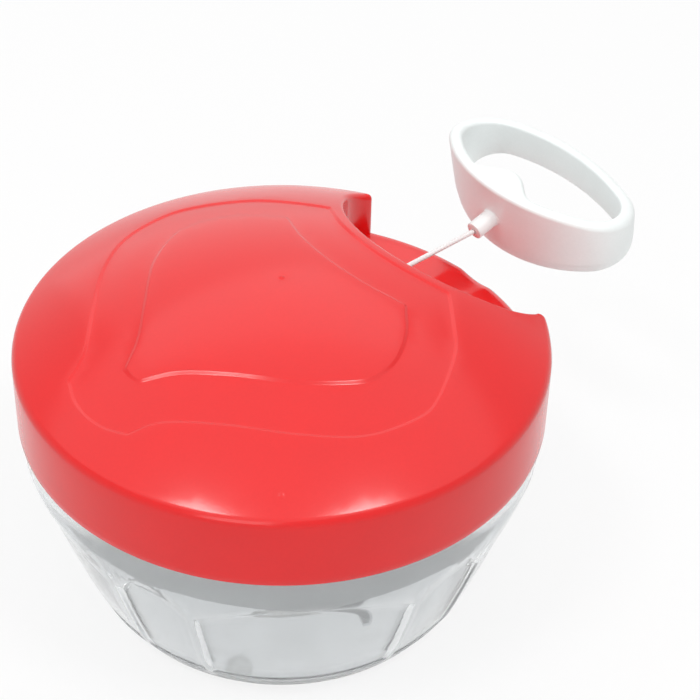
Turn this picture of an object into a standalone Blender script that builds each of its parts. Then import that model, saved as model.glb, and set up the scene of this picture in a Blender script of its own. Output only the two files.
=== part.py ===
"""Pull-cord food chopper: a clear bowl, a domed lid with a reel in it, and a ring handle on a cord.

Metres, +Z up. The origin is the centre of the bowl's flat underside, and +X is the way that the
cord is pulled. The handle stands a little way out of its notch, with the cord taut.
"""

from math import acos, asin, atan2, cos, hypot, pi, radians, sin, sqrt, tan

import bmesh
import bpy
from mathutils import Matrix, Vector

# Fits and facets
GAP = 0.0003
OVERRUN = 0.002
LARGE_SIDES = 72
MEDIUM_SIDES = 36
SMALL_SIDES = 16
SHARP_ANGLE = radians(35)

# Bowl
BOWL_HEIGHT = 0.0592
BOWL_FOOT_RADIUS = 0.0466
BOWL_RIM_RADIUS = 0.0638
BOWL_FLARE_HEIGHT = 0.0477
BOWL_FLARE_POWER_SHARE = 0.78
BOWL_WALL = 0.0024
BOWL_FLOOR = 0.0035
BOWL_FLOOR_FILLET = 0.005
BOWL_RIM_ROUND = 0.0007

# Panels pressed into the bowl's wall, a wide one and a narrow one by turns
PANEL_PAIRS = 5
PANEL_START_ANGLE = radians(237.5)
PANEL_DEPTH = 0.0006
PANEL_LOW_HEIGHT = 0.007
PANEL_TOP_HEIGHT = 0.0435
PANEL_SHOULDER_HEIGHT = 0.0355
PANEL_EDGE = 0.0006
WIDE_PANEL_SHARE = 0.66
RIB_SHARE = 0.022
RIB_SIDE_SHARE = 0.017
WIDE_STEPS = 8
NARROW_STEPS = 3

# Pin that the blades turn on
PIN_RADIUS = 0.0024
PIN_TOP_HEIGHT = 0.026
PIN_BOSS_RADIUS = 0.0056
PIN_BOSS_HEIGHT = 0.0065
PIN_SEAT_DEPTH = 0.0052

# Foot pads
PAD_COUNT = 3
PAD_RADIUS = 0.0032
PAD_CIRCLE_RADIUS = 0.0424
PAD_THICKNESS = 0.0012
PAD_STAND = 0.0005
PAD_START_ANGLE = radians(217.5)

# Lid cover
LID_RIM_CLEARANCE = 0.0004
LID_WALL = 0.0018
SKIRT_HEIGHT = 0.021
SKIRT_OVERLAP = 0.0042
SHOULDER_FILLET = 0.003
DOME_RISE = 0.0165
DOME_STEPS = 9
FILLET_STEPS = 4

# Notch for the handle; its outline follows the lid's radius by these shares
NOTCH_RADIUS_SHARE = 0.5606
NOTCH_BACK_SHARE = 0.4591
NOTCH_BLEND_SHARE = 0.2121
NOTCH_HALF_WIDTH_SHARE = 0.4894
NOTCH_FLOOR_DROP = 0.0129
NOTCH_CORNER = 0.0012
NOTCH_LIP_ROUND = 0.003
SCOOP_WIDTH = 0.0096
SCOOP_DEPTH = 0.0012
SCOOP_LENGTH = 0.0125

# Cord and the eyelet it leaves by
CORD_RADIUS = 0.00065
CORD_OVER_SHOULDER = 0.0007
CORD_RISE_ANGLE = radians(2.25)
CORD_BEND_RADIUS = 0.004
CORD_STEP = 0.0034
EYELET_BORE_RADIUS = 0.0012
EYELET_RADIUS = 0.0019
EYELET_FLANGE_RADIUS = 0.0026
EYELET_FLANGE = 0.0005
EYELET_TAIL = 0.0004
POCKET_DEPTH = 0.0065
POCKET_BACK_RADIUS = 0.0032
POCKET_MOUTH_RADIUS = 0.005
POCKET_WALL = 0.0018

# Inner cover that closes the lid
COVER_CLEARANCE = 0.00045
COVER_FLANGE = 0.0015
COVER_WALL = 0.0028
COVER_PLATE = 0.002
COVER_PLATE_DROP = 0.005
COVER_SKIRT_DROP = 0.018
COLLAR_WALL = 0.002
COLLAR_HEIGHT = 0.0037
SEAL_HEIGHT = 0.0024
SEAL_THICKNESS = 0.0022
SEAL_TOP_DROP = 0.0083

# Screws of the inner cover
SCREW_ANGLES = (radians(68), radians(142), radians(218), radians(292))
SCREW_INSET = 0.0068
SCREW_RADIUS = 0.0014
SCREW_LENGTH = 0.012
SCREW_HEAD_RADIUS = 0.003
SCREW_HEAD = 0.0018
SCREW_POST_WALL = 0.0016
SCREW_SLOT = 0.0008

# Reel, its winding and the spring above it
REEL_CLEARANCE = 0.0011
REEL_GROOVE = 0.0054
REEL_FLANGE = 0.0015
REEL_HUB_RADIUS = 0.007
REEL_HUB_DROP = 0.0045
REEL_CUP_DEPTH = 0.0065
REEL_CUP_WALL = 0.0012
WINDING_DEPTH = 0.005
WINDING_RIM = 0.0035
SPRING_TURNS = 7
SPRING_STEPS_PER_TURN = 20
SPRING_THICKNESS = 0.0004
SPRING_HEIGHT = 0.0055
CAP_THICKNESS = 0.0009

# Axle bolt through the reel
BOLT_RADIUS = 0.002
BOLT_HEAD_RADIUS = 0.0038
BOLT_HEAD = 0.002
BOLT_TOP_DEPTH = 0.0045
LID_BOSS_RADIUS = 0.0046
WASHER_RADIUS = 0.0052
WASHER_THICKNESS = 0.0008

# Pawls under the reel and the toothed cup that they drive
PAWL_COUNT = 3
PAWL_CIRCLE_RADIUS = 0.0102
PAWL_PIN_RADIUS = 0.0012
PAWL_EYE_RADIUS = 0.0026
PAWL_THICKNESS = 0.0035
PAWL_TOP_GAP = 0.0008
PAWL_TIP_RADIUS = 0.0007
PAWL_TIP_CIRCLE_RADIUS = 0.0132
PAWL_TIP_ANGLE = radians(24)
TOOTH_COUNT = 12
TOOTH_DEPTH = 0.0015
TOOTH_ROOT_RADIUS = 0.0148
TOOTH_FACE_ANGLE = radians(28.7)
CUP_WALL = 0.002
CUP_FLOOR = 0.002
CUP_TOP_GAP = 0.001

# Drive hub below the cup
HUB_RADIUS = 0.0085
HUB_DROP = 0.0125
SOCKET_FLATS = 0.010
SOCKET_DEPTH = 0.0105
CLIP_THICKNESS = 0.001
CLIP_WIDTH = 0.0022
CLIP_GROOVE = 0.0008
CLIP_PLATE_GAP = 0.0006
CLIP_OPENING = 0.006

# Blade shaft and blades
SHAFT_RADIUS = 0.0065
SHAFT_BASE_RADIUS = 0.0095
SHAFT_BASE = 0.0024
SHAFT_BASE_SLOPE = 0.002
SHAFT_TOP_GAP = 0.001
SHAFT_BORE_TOP_GAP = 0.001
HEX_TOP_GAP = 0.0005
BLADE_THICKNESS = 0.001
BLADE_HEIGHTS = (0.0130, 0.0250, 0.0370)
BLADE_REACH_SHARES = (0.912, 0.916, 0.858)
BLADE_ANGLES = (radians(150), radians(270), radians(30))
BLADE_ROOT_RADIUS = 0.0042
BLADE_ROOT_WIDTH = 0.006
BLADE_WIDTH = 0.0105
BLADE_TIP_WIDTH = 0.003
BLADE_SWEEP = 0.013
BLADE_STEPS = 10

# Ring handle, as it lies level; the cord meets it at the tip of its boss
PULL_OUT = 0.03823
HANDLE_TILT = radians(16)
HANDLE_TILT_AXIS = Vector((0.32, -0.933, 0.162))
HANDLE_CLEARANCE = 0.0004
HANDLE_INSET = 0.0015
HANDLE_END_INSET = 0.0018
HANDLE_WALL = 0.0036
HANDLE_BELOW_CORD = 0.0123
HANDLE_DRAFT = 0.0006
HANDLE_ROUND = 0.0011
HANDLE_BUMP = 0.0067
HANDLE_BUMP_WIDTH = 0.0218
BOSS_RADIUS = 0.0024
BOSS_LENGTH = 0.0063
BOSS_ROOT_RADIUS = 0.003
BOSS_BORE_RADIUS = 0.001
KNOT_RADIUS = 0.0017
KNOT_ROOM = 0.0012
NEAR_STEPS = 20
END_STEPS = 8
FAR_STEPS = 10

# Heights and radii that follow from the sizes above
LID_RADIUS = BOWL_RIM_RADIUS + LID_RIM_CLEARANCE + LID_WALL
SKIRT_BOTTOM = BOWL_HEIGHT - SKIRT_OVERLAP
SHOULDER_TOP = SKIRT_BOTTOM + SKIRT_HEIGHT
SHOULDER_RADIUS = LID_RADIUS - SHOULDER_FILLET
LID_TOP = SHOULDER_TOP + DOME_RISE
CORD_HEIGHT = SHOULDER_TOP + CORD_OVER_SHOULDER
DOME_RADIUS = (SHOULDER_RADIUS ** 2 + DOME_RISE ** 2) / (2 * DOME_RISE)
DOME_CENTRE = LID_TOP - DOME_RADIUS
NOTCH_RADIUS = NOTCH_RADIUS_SHARE * LID_RADIUS
NOTCH_BACK = NOTCH_BACK_SHARE * LID_RADIUS
NOTCH_BLEND_RADIUS = NOTCH_BLEND_SHARE * LID_RADIUS
NOTCH_HALF_WIDTH = NOTCH_HALF_WIDTH_SHARE * LID_RADIUS
NOTCH_CENTRE = NOTCH_BACK + NOTCH_RADIUS
NOTCH_FLOOR = SHOULDER_TOP - NOTCH_FLOOR_DROP
COVER_FLANGE_BOTTOM = BOWL_HEIGHT + GAP
COVER_TOP = COVER_FLANGE_BOTTOM + COVER_FLANGE
COVER_BOTTOM = COVER_TOP - COVER_SKIRT_DROP
PLATE_TOP = COVER_TOP - COVER_PLATE_DROP
PLATE_BOTTOM = PLATE_TOP - COVER_PLATE
POCKET_BACK = NOTCH_BACK - POCKET_DEPTH
REEL_RADIUS = POCKET_BACK - POCKET_WALL - EYELET_TAIL - REEL_CLEARANCE
WINDING_RADIUS = REEL_RADIUS - WINDING_RIM
REEL_CORE_RADIUS = WINDING_RADIUS - WINDING_DEPTH
GROOVE_BOTTOM = CORD_HEIGHT - REEL_GROOVE / 2
GROOVE_TOP = CORD_HEIGHT + REEL_GROOVE / 2
REEL_FLANGE_BOTTOM = GROOVE_BOTTOM - REEL_FLANGE
REEL_CUP_FLOOR = GROOVE_TOP + REEL_FLANGE
REEL_CUP_TOP = REEL_CUP_FLOOR + REEL_CUP_DEPTH
REEL_HUB_BOTTOM = REEL_FLANGE_BOTTOM - REEL_HUB_DROP
WASHER_TOP = REEL_HUB_BOTTOM - GAP
BOLT_HEAD_TOP = WASHER_TOP - WASHER_THICKNESS - GAP
CUP_TOP = REEL_FLANGE_BOTTOM - CUP_TOP_GAP
COLLAR_TOP = PLATE_TOP + COLLAR_HEIGHT
CUP_BOTTOM = COLLAR_TOP + GAP
CUP_RADIUS = TOOTH_ROOT_RADIUS + CUP_WALL
HUB_BOTTOM = CUP_BOTTOM - HUB_DROP
SOCKET_TOP = HUB_BOTTOM + SOCKET_DEPTH
SHAFT_BOTTOM = PIN_BOSS_HEIGHT + GAP
SHAFT_TOP = HUB_BOTTOM - SHAFT_TOP_GAP
BOSS_DOCKED_TIP = POCKET_BACK + GAP + EYELET_FLANGE + GAP
HANDLE_NEAR_RADIUS = NOTCH_RADIUS - HANDLE_CLEARANCE
HANDLE_DEPTH = LID_RADIUS - HANDLE_INSET - BOSS_DOCKED_TIP - BOSS_LENGTH
HANDLE_END_RADIUS = NOTCH_BLEND_RADIUS - HANDLE_END_INSET
CORD_DIRECTION = Vector((cos(CORD_RISE_ANGLE), 0, sin(CORD_RISE_ANGLE)))
DOCKED_TIP = Vector((BOSS_DOCKED_TIP, 0, CORD_HEIGHT))
HANDLE_TIP = DOCKED_TIP + PULL_OUT * CORD_DIRECTION

COLOURS = {
    "red_plastic": ((0.78, 0.055, 0.05), 0.3, 0.0),
    "grey_plastic": ((0.62, 0.63, 0.63), 0.45, 0.0),
    "white_plastic": ((0.9, 0.9, 0.88), 0.35, 0.0),
    "natural_plastic": ((0.8, 0.79, 0.75), 0.45, 0.0),
    "clear_plastic": ((0.85, 0.87, 0.88), 0.12, 0.0),
    "blade_steel": ((0.62, 0.63, 0.65), 0.25, 1.0),
    "fastener_steel": ((0.5, 0.5, 0.52), 0.4, 1.0),
    "spring_steel": ((0.3, 0.31, 0.34), 0.35, 1.0),
    "silicone": ((0.85, 0.85, 0.83), 0.6, 0.0),
    "pad_rubber": ((0.82, 0.82, 0.8), 0.7, 0.0),
    "cord_polyester": ((0.86, 0.86, 0.84), 0.6, 0.0),
}


# Scene and materials


def clear_scene():
    """Remove whatever the scene holds."""
    for obj in list(bpy.data.objects):
        bpy.data.objects.remove(obj, do_unlink=True)


def finish(name):
    """The material called name, made on its first use."""
    if name in bpy.data.materials:
        return bpy.data.materials[name]
    colour, roughness, metallic = COLOURS[name]
    made = bpy.data.materials.new(name)
    made.use_nodes = True
    shader = made.node_tree.nodes["Principled BSDF"]
    shader.inputs["Base Color"].default_value = (*colour, 1.0)
    shader.inputs["Roughness"].default_value = roughness
    shader.inputs["Metallic"].default_value = metallic
    return made


# Ways of making a solid


def link(name, mesh, material=None, parent=None):
    """A new object for a mesh, smooth where it is round."""
    mesh.shade_smooth()
    mesh.set_sharp_from_angle(angle=SHARP_ANGLE)
    obj = bpy.data.objects.new(name, mesh)
    bpy.context.collection.objects.link(obj)
    if material:
        obj.data.materials.append(finish(material))
    obj.parent = parent
    return obj


def solid(name, points, faces, material=None, parent=None):
    """An object from points and faces, with its faces turned outwards."""
    body = bmesh.new()
    corners = [body.verts.new(point) for point in points]
    for face in faces:
        body.faces.new([corners[index] for index in face])
    bmesh.ops.recalc_face_normals(body, faces=body.faces)
    mesh = bpy.data.meshes.new(name)
    body.to_mesh(mesh)
    body.free()
    return link(name, mesh, material, parent)


def rings_solid(name, rings, material=None, parent=None):
    """A solid whose skin joins ring to ring, the last one to the first; a ring may be one point."""
    points, starts = [], []
    for ring in rings:
        starts.append(len(points))
        points.extend(ring)
    faces = []
    for index, ring in enumerate(rings):
        follower = (index + 1) % len(rings)
        faces.extend(band(starts[index], len(ring), starts[follower], len(rings[follower])))
    return solid(name, points, faces, material, parent)


def band(start, count, next_start, next_count):
    """Faces between two rings of equal count, or between a ring and a point."""
    sides = max(count, next_count)
    if sides == 1:
        return []
    faces = []
    for side in range(sides):
        turn = (side + 1) % sides
        if count == 1:
            faces.append((start, next_start + side, next_start + turn))
        elif next_count == 1:
            faces.append((start + side, start + turn, next_start))
        else:
            faces.append((start + side, start + turn, next_start + turn, next_start + side))
    return faces


def swept(name, rings, material=None, parent=None):
    """A solid whose skin joins ring to ring and is closed at both ends."""
    count = len(rings[0])
    last = count * (len(rings) - 1)
    points = [point for ring in rings for point in ring]
    faces = [tuple(range(count)), tuple(range(last, last + count))]
    for start in range(0, last, count):
        faces.extend(band(start, count, start + count, count))
    return solid(name, points, faces, material, parent)


def turned(name, profile, sides, material=None, parent=None, offset=0):
    """A solid turned about Z from a closed loop of (radius, height) points.

    The offset turns its facets by a share of one facet.
    """
    rings = []
    for radius, height in profile:
        if radius == 0:
            rings.append([(0, 0, height)])
        else:
            turn = [2 * pi * (side + offset) / sides for side in range(sides)]
            rings.append([(radius * cos(a), radius * sin(a), height) for a in turn])
    return rings_solid(name, rings, material, parent)


def prism(name, outline, low, high, material=None, parent=None):
    """An upright solid over a closed outline of (x, y) points."""
    count = len(outline)
    points = [(x, y, low) for x, y in outline] + [(x, y, high) for x, y in outline]
    faces = [tuple(range(count)), tuple(range(count, 2 * count))]
    faces += band(0, count, count, count)
    return solid(name, points, faces, material, parent)


def round_bar(name, radius, low, high, sides=SMALL_SIDES, parent=None, offset=0):
    """A plain round bar about Z, as a cutter or a part of a union."""
    profile = [(0, low), (radius, low), (radius, high), (0, high)]
    return turned(name, profile, sides, None, parent, offset)


def drill(name, radius, low, high, parent=None):
    """A cutter for a hole down the middle of a round piece, its facets between the piece's own."""
    return round_bar(name, radius, low, high, SMALL_SIDES, parent, 0.5)


def combine(obj, tool, operation="DIFFERENCE"):
    """Cut obj with a tool, or join the tool to it; the tool itself is only a guide."""
    tool.hide_render = True
    tool.display_type = "WIRE"
    step = obj.modifiers.new(tool.name, "BOOLEAN")
    step.operation = operation
    step.solver = "EXACT"
    step.object = tool
    return obj


def arc(centre, radius, start, end, steps):
    """Points of an arc from one angle to another, both ends included."""
    angles = [start + (end - start) * step / steps for step in range(steps + 1)]
    return [(centre[0] + radius * cos(a), centre[1] + radius * sin(a)) for a in angles]


def polar(radius, angle, height=0):
    """A point at a radius and angle about Z."""
    return Vector((radius * cos(angle), radius * sin(angle), height))


def hexagon(flats):
    """The corners of a hexagon with the given width across its flats."""
    return arc((0, 0), flats / 2 / cos(pi / 6), 0, 5 * pi / 3, 5)


# Bowl


def bowl_radius(height):
    """The bowl's outer radius at a height: it flares from the foot, then stands straight."""
    share = min(height / BOWL_FLARE_HEIGHT, 1)
    return BOWL_FOOT_RADIUS + (BOWL_RIM_RADIUS - BOWL_FOOT_RADIUS) * share ** BOWL_FLARE_POWER_SHARE


def bowl_columns():
    """Each upright line of the bowl as (angle, pressed in or not, height of its panel's top)."""
    pair = 2 * pi / PANEL_PAIRS
    wide = WIDE_PANEL_SHARE * pair
    narrow = pair - wide - 2 * RIB_SHARE * pair - 4 * RIB_SIDE_SHARE * pair
    rise = PANEL_TOP_HEIGHT - PANEL_SHOULDER_HEIGHT
    columns = []
    for number in range(PANEL_PAIRS):
        angle = PANEL_START_ANGLE + number * pair - wide / 2
        for width, steps in ((wide, WIDE_STEPS), (narrow, NARROW_STEPS)):
            for step in range(steps + 1):
                across = 2 * step / steps - 1
                crown = rise * (1 - across ** 2)
                columns.append((angle + width * step / steps, 1, PANEL_SHOULDER_HEIGHT + crown))
            angle += width + RIB_SIDE_SHARE * pair
            columns.append((angle, 0, PANEL_SHOULDER_HEIGHT))
            angle += RIB_SHARE * pair
            columns.append((angle, 0, PANEL_SHOULDER_HEIGHT))
            angle += RIB_SIDE_SHARE * pair
    return columns


def bowl_outer_ring(columns, share, pressed):
    """A ring of the outer wall, at a share of the way up each panel or at a fixed height."""
    ring = []
    for angle, inside, top in columns:
        low = PANEL_LOW_HEIGHT - PANEL_EDGE * (1 - pressed)
        high = top + PANEL_EDGE * (1 - pressed)
        height = low + (high - low) * share
        radius = bowl_radius(height) - PANEL_DEPTH * inside * pressed
        ring.append(polar(radius, angle, height))
    return ring


def plain_ring(columns, radius, height):
    """A level ring that keeps the bowl's columns."""
    return [polar(radius, angle, height) for angle, inside, top in columns]


def make_bowl():
    """The clear bowl, with panels outside, a floor boss for the pin and seats for the pads."""
    columns = bowl_columns()
    rings = [[Vector((0, 0, 0))], plain_ring(columns, BOWL_FOOT_RADIUS, 0)]
    rings.append(bowl_outer_ring(columns, 0, 0))
    for share in (0, 0.25, 0.5, 0.75, 1):
        rings.append(bowl_outer_ring(columns, share, 1))
    rings.append(bowl_outer_ring(columns, 1, 0))
    for height in (BOWL_FLARE_HEIGHT, BOWL_HEIGHT - BOWL_RIM_ROUND):
        rings.append(plain_ring(columns, bowl_radius(height), height))
    rings.append(plain_ring(columns, BOWL_RIM_RADIUS - BOWL_RIM_ROUND, BOWL_HEIGHT))
    inner = BOWL_RIM_RADIUS - BOWL_WALL
    rings.append(plain_ring(columns, inner + BOWL_RIM_ROUND, BOWL_HEIGHT))
    rings.append(plain_ring(columns, inner, BOWL_HEIGHT - BOWL_RIM_ROUND))
    corner = BOWL_FLOOR + BOWL_FLOOR_FILLET
    for share in (1, 0.7, 0.4, 0.15):
        height = corner + (BOWL_FLARE_HEIGHT - corner) * share
        rings.append(plain_ring(columns, bowl_radius(height) - BOWL_WALL, height))
    side = bowl_radius(corner) - BOWL_WALL
    for turn in (0, pi / 4, pi / 2):
        radius = side - BOWL_FLOOR_FILLET * (1 - cos(turn))
        rings.append(plain_ring(columns, radius, corner - BOWL_FLOOR_FILLET * sin(turn)))
    rings.append([Vector((0, 0, BOWL_FLOOR))])
    bowl = rings_solid("bowl", rings, "clear_plastic")
    boss = round_bar("pin_boss", PIN_BOSS_RADIUS, BOWL_FLOOR - GAP, PIN_BOSS_HEIGHT)
    combine(bowl, boss, "UNION")
    seat = drill("pin_seat", PIN_RADIUS + GAP, PIN_BOSS_HEIGHT - PIN_SEAT_DEPTH,
                 PIN_BOSS_HEIGHT + OVERRUN)
    combine(bowl, seat)
    for number in range(PAD_COUNT):
        recess = round_bar(f"pad_seat_{number + 1}", PAD_RADIUS + GAP, -OVERRUN,
                           PAD_THICKNESS - PAD_STAND + GAP)
        recess.location = pad_place(number)
        combine(bowl, recess)
    return bowl


def pad_place(number):
    """Where a foot pad's centre is on the bowl's underside."""
    return polar(PAD_CIRCLE_RADIUS, PAD_START_ANGLE + 2 * pi * number / PAD_COUNT)


def make_foot_pads():
    """Round pads let into the underside, standing a little proud of it."""
    for number in range(PAD_COUNT):
        edge = PAD_STAND / 2
        profile = [(0, -PAD_STAND), (PAD_RADIUS - edge, -PAD_STAND), (PAD_RADIUS, -PAD_STAND + edge),
                   (PAD_RADIUS, PAD_THICKNESS - PAD_STAND), (0, PAD_THICKNESS - PAD_STAND)]
        pad = turned(f"foot_pad_{number + 1}", profile, SMALL_SIDES, "pad_rubber")
        pad.location = pad_place(number)


def make_bowl_pin():
    """The steel pin in the bowl's floor, with a rounded top."""
    bottom = PIN_BOSS_HEIGHT - PIN_SEAT_DEPTH + GAP
    shoulder = PIN_TOP_HEIGHT - PIN_RADIUS
    dome = arc((0, shoulder), PIN_RADIUS, 0, pi / 2, 4)[:-1]
    profile = [(0, bottom), (PIN_RADIUS, bottom)] + dome + [(0, PIN_TOP_HEIGHT)]
    turned("bowl_pin", profile, SMALL_SIDES, "fastener_steel")


# Blades


def shaft_slot(number):
    """The cutter that lets a blade's root into the shaft."""
    height = BLADE_HEIGHTS[number]
    half = BLADE_ROOT_WIDTH / 2 + GAP
    inner = BLADE_ROOT_RADIUS - GAP
    outer = SHAFT_RADIUS + OVERRUN
    outline = [(inner, -half), (outer, -half), (outer, half), (inner, half)]
    rise = BLADE_THICKNESS / 2 + GAP
    slot = prism(f"blade_slot_{number + 1}", outline, height - rise, height + rise)
    slot.rotation_euler.z = BLADE_ANGLES[number]
    return slot


def make_blade_shaft(parent):
    """The white column that the blades are set in, bored for the pin and six-sided at its top."""
    bore = PIN_RADIUS + GAP
    bore_top = PIN_TOP_HEIGHT + SHAFT_BORE_TOP_GAP
    base_top = SHAFT_BOTTOM + SHAFT_BASE
    profile = [(0, bore_top), (bore, bore_top), (bore, SHAFT_BOTTOM),
               (SHAFT_BASE_RADIUS, SHAFT_BOTTOM), (SHAFT_BASE_RADIUS, base_top),
               (SHAFT_RADIUS, base_top + SHAFT_BASE_SLOPE), (SHAFT_RADIUS, SHAFT_TOP), (0, SHAFT_TOP)]
    shaft = turned("blade_shaft", profile, MEDIUM_SIDES, "white_plastic", parent)
    flats = SOCKET_FLATS - 2 * GAP
    spigot = prism("shaft_spigot", hexagon(flats), SHAFT_TOP - GAP, SOCKET_TOP - HEX_TOP_GAP,
                   None, parent)
    combine(shaft, spigot, "UNION")
    for number in range(len(BLADE_HEIGHTS)):
        slot = shaft_slot(number)
        slot.parent = parent
        combine(shaft, slot)


def blade_outline(reach):
    """A swept blade that widens from its root and narrows to a rounded tip."""
    start = SHAFT_RADIUS + GAP
    leading, trailing = [], []
    for step in range(BLADE_STEPS + 1):
        share = step / BLADE_STEPS
        x = start + (reach - start) * share
        middle = -BLADE_SWEEP * share ** 2
        swell = (BLADE_WIDTH - BLADE_ROOT_WIDTH) * sin(pi * share ** 0.7)
        width = BLADE_ROOT_WIDTH + (BLADE_TIP_WIDTH - BLADE_ROOT_WIDTH) * share + swell
        leading.append((x, middle + width / 2))
        trailing.append((x, middle - width / 2))
    root = [(BLADE_ROOT_RADIUS, -BLADE_ROOT_WIDTH / 2), (BLADE_ROOT_RADIUS, BLADE_ROOT_WIDTH / 2)]
    tip = [(reach + BLADE_TIP_WIDTH / 4, -BLADE_SWEEP)]
    return root + leading + tip + trailing[::-1]


def make_blades(parent):
    """Three steel blades at their own heights, a third of a turn apart."""
    for number, height in enumerate(BLADE_HEIGHTS):
        low = height - BLADE_THICKNESS / 2
        reach = BLADE_REACH_SHARES[number] * (bowl_radius(height) - BOWL_WALL)
        blade = prism(f"blade_{number + 1}", blade_outline(reach), low, low + BLADE_THICKNESS,
                      "blade_steel", parent)
        blade.rotation_euler.z = BLADE_ANGLES[number]


# Lid cover


def dome_profile(wall):
    """Top and side of the lid as (radius, height), set in by a wall, from the axis down."""
    fillet = max(SHOULDER_FILLET - wall, SHOULDER_FILLET / 4)
    reach = LID_RADIUS - wall - fillet
    sphere = DOME_RADIUS - wall
    drop = sqrt((sphere - fillet) ** 2 - reach ** 2)
    lean = asin(reach / (sphere - fillet))
    points = [(0, DOME_CENTRE + sphere)]
    for step in range(1, DOME_STEPS + 1):
        turn = lean * step / DOME_STEPS
        points.append((sphere * sin(turn), DOME_CENTRE + sphere * cos(turn)))
    points += arc((reach, DOME_CENTRE + drop), fillet, pi / 2 - lean, 0, FILLET_STEPS)[1:]
    return points


def notch_outline():
    """The handle's notch in plan: a round back, straight sides and a rounded corner at the rim."""
    blend_y = NOTCH_HALF_WIDTH - NOTCH_BLEND_RADIUS
    apart = NOTCH_RADIUS - NOTCH_BLEND_RADIUS
    blend = (NOTCH_CENTRE - sqrt(apart ** 2 - blend_y ** 2), blend_y)
    back_end = atan2(blend_y, blend[0] - NOTCH_CENTRE)
    corner_y = NOTCH_HALF_WIDTH + NOTCH_CORNER
    corner = (sqrt((LID_RADIUS - NOTCH_CORNER) ** 2 - corner_y ** 2), corner_y)
    to_side = atan2(corner[1], corner[0])
    half = arc((NOTCH_CENTRE, 0), NOTCH_RADIUS, pi, back_end, 16)
    half += arc(blend, NOTCH_BLEND_RADIUS, back_end, pi / 2, 5)[1:]
    half += arc(corner, NOTCH_CORNER, -pi / 2, to_side, 4)
    beyond = LID_RADIUS + OVERRUN
    half += [(beyond * cos(to_side), beyond * sin(to_side)), (2 * beyond, beyond)]
    return half + [(x, -y) for x, y in half[:0:-1]]


def screw_place(number, height=0):
    """Where a screw of the inner cover stands."""
    return polar(cover_radius() - COVER_WALL - SCREW_INSET, SCREW_ANGLES[number], height)


def make_cavity():
    """The hollow of the lid, less the notch's walls, the posts and the cord's pocket."""
    inside = dome_profile(LID_WALL)
    side = LID_RADIUS - LID_WALL
    profile = inside + [(side, SKIRT_BOTTOM - OVERRUN), (0, SKIRT_BOTTOM - OVERRUN)]
    cavity = turned("lid_cavity", profile, LARGE_SIDES, offset=0.5)
    liner = round_bar("notch_liner", NOTCH_RADIUS + LID_WALL, NOTCH_FLOOR - LID_WALL,
                      LID_TOP + OVERRUN, LARGE_SIDES, offset=0.5)
    liner.location.x = NOTCH_CENTRE
    combine(cavity, liner)
    boss = round_bar("lid_boss", LID_BOSS_RADIUS, REEL_CUP_FLOOR + GAP, LID_TOP + OVERRUN,
                     MEDIUM_SIDES)
    combine(cavity, boss)
    for number in range(len(SCREW_ANGLES)):
        post = round_bar(f"screw_post_{number + 1}", SCREW_RADIUS + GAP + SCREW_POST_WALL,
                         PLATE_TOP + GAP, LID_TOP + OVERRUN)
        post.location = screw_place(number)
        combine(cavity, post)
    back = POCKET_BACK - POCKET_WALL
    block = round_bar("pocket_block", POCKET_MOUTH_RADIUS + POCKET_WALL / 2, 0,
                      NOTCH_BACK + LID_WALL - back, MEDIUM_SIDES)
    block.location = (back, 0, CORD_HEIGHT)
    block.rotation_euler.y = pi / 2
    combine(cavity, block)
    cavity.hide_render = True
    return cavity


def make_lid_cover():
    """The red lid: a dome and a skirt, a notch for the handle and the cord's pocket in its wall."""
    outside = dome_profile(0)
    profile = outside + [(LID_RADIUS, SKIRT_BOTTOM), (0, SKIRT_BOTTOM)]
    lid = turned("lid_cover", profile, LARGE_SIDES, "red_plastic")
    combine(lid, make_cavity())
    combine(lid, prism("notch", notch_outline(), NOTCH_FLOOR, LID_TOP + OVERRUN))
    combine(lid, make_lip_cutter())
    combine(lid, make_pocket())
    combine(lid, make_scoop())
    top = LID_TOP - BOLT_TOP_DEPTH + GAP
    combine(lid, drill("bolt_hole", BOLT_RADIUS + GAP, REEL_CUP_FLOOR, top))
    for number in range(len(SCREW_ANGLES)):
        hole = drill(f"post_hole_{number + 1}", SCREW_RADIUS + GAP, PLATE_TOP,
                     PLATE_TOP + SCREW_LENGTH)
        hole.location = screw_place(number)
        combine(lid, hole)


def make_lip_cutter():
    """The cutter that rounds the outer edge of the notch's floor."""
    reach = asin((NOTCH_HALF_WIDTH + NOTCH_CORNER) / (LID_RADIUS - NOTCH_CORNER))
    inner = LID_RADIUS - NOTCH_LIP_ROUND + GAP
    low = NOTCH_FLOOR - NOTCH_LIP_ROUND + GAP / 2
    lip = arc((inner, low), NOTCH_LIP_ROUND, 0, pi / 2, 4)
    outer = LID_RADIUS + OVERRUN
    profile = lip + [(inner, NOTCH_FLOOR + OVERRUN), (outer, NOTCH_FLOOR + OVERRUN), (outer, low)]
    rings = []
    for step in range(13):
        angle = reach * (step / 6 - 1)
        rings.append([polar(radius, angle, height) for radius, height in profile])
    return swept("notch_lip", rings)


def make_pocket():
    """The cutter for the tapered pocket that takes the handle's boss, and the eyelet's hole."""
    depth = NOTCH_BACK - POCKET_BACK + LID_WALL
    hole = EYELET_RADIUS + GAP
    back = -POCKET_WALL - OVERRUN
    profile = [(0, back), (hole, back), (hole, 0), (POCKET_BACK_RADIUS, 0),
               (POCKET_MOUTH_RADIUS, depth), (0, depth)]
    pocket = turned("boss_pocket", profile, MEDIUM_SIDES, offset=0.5)
    pocket.location = (POCKET_BACK, 0, CORD_HEIGHT)
    pocket.rotation_euler.y = pi / 2
    return pocket


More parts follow.
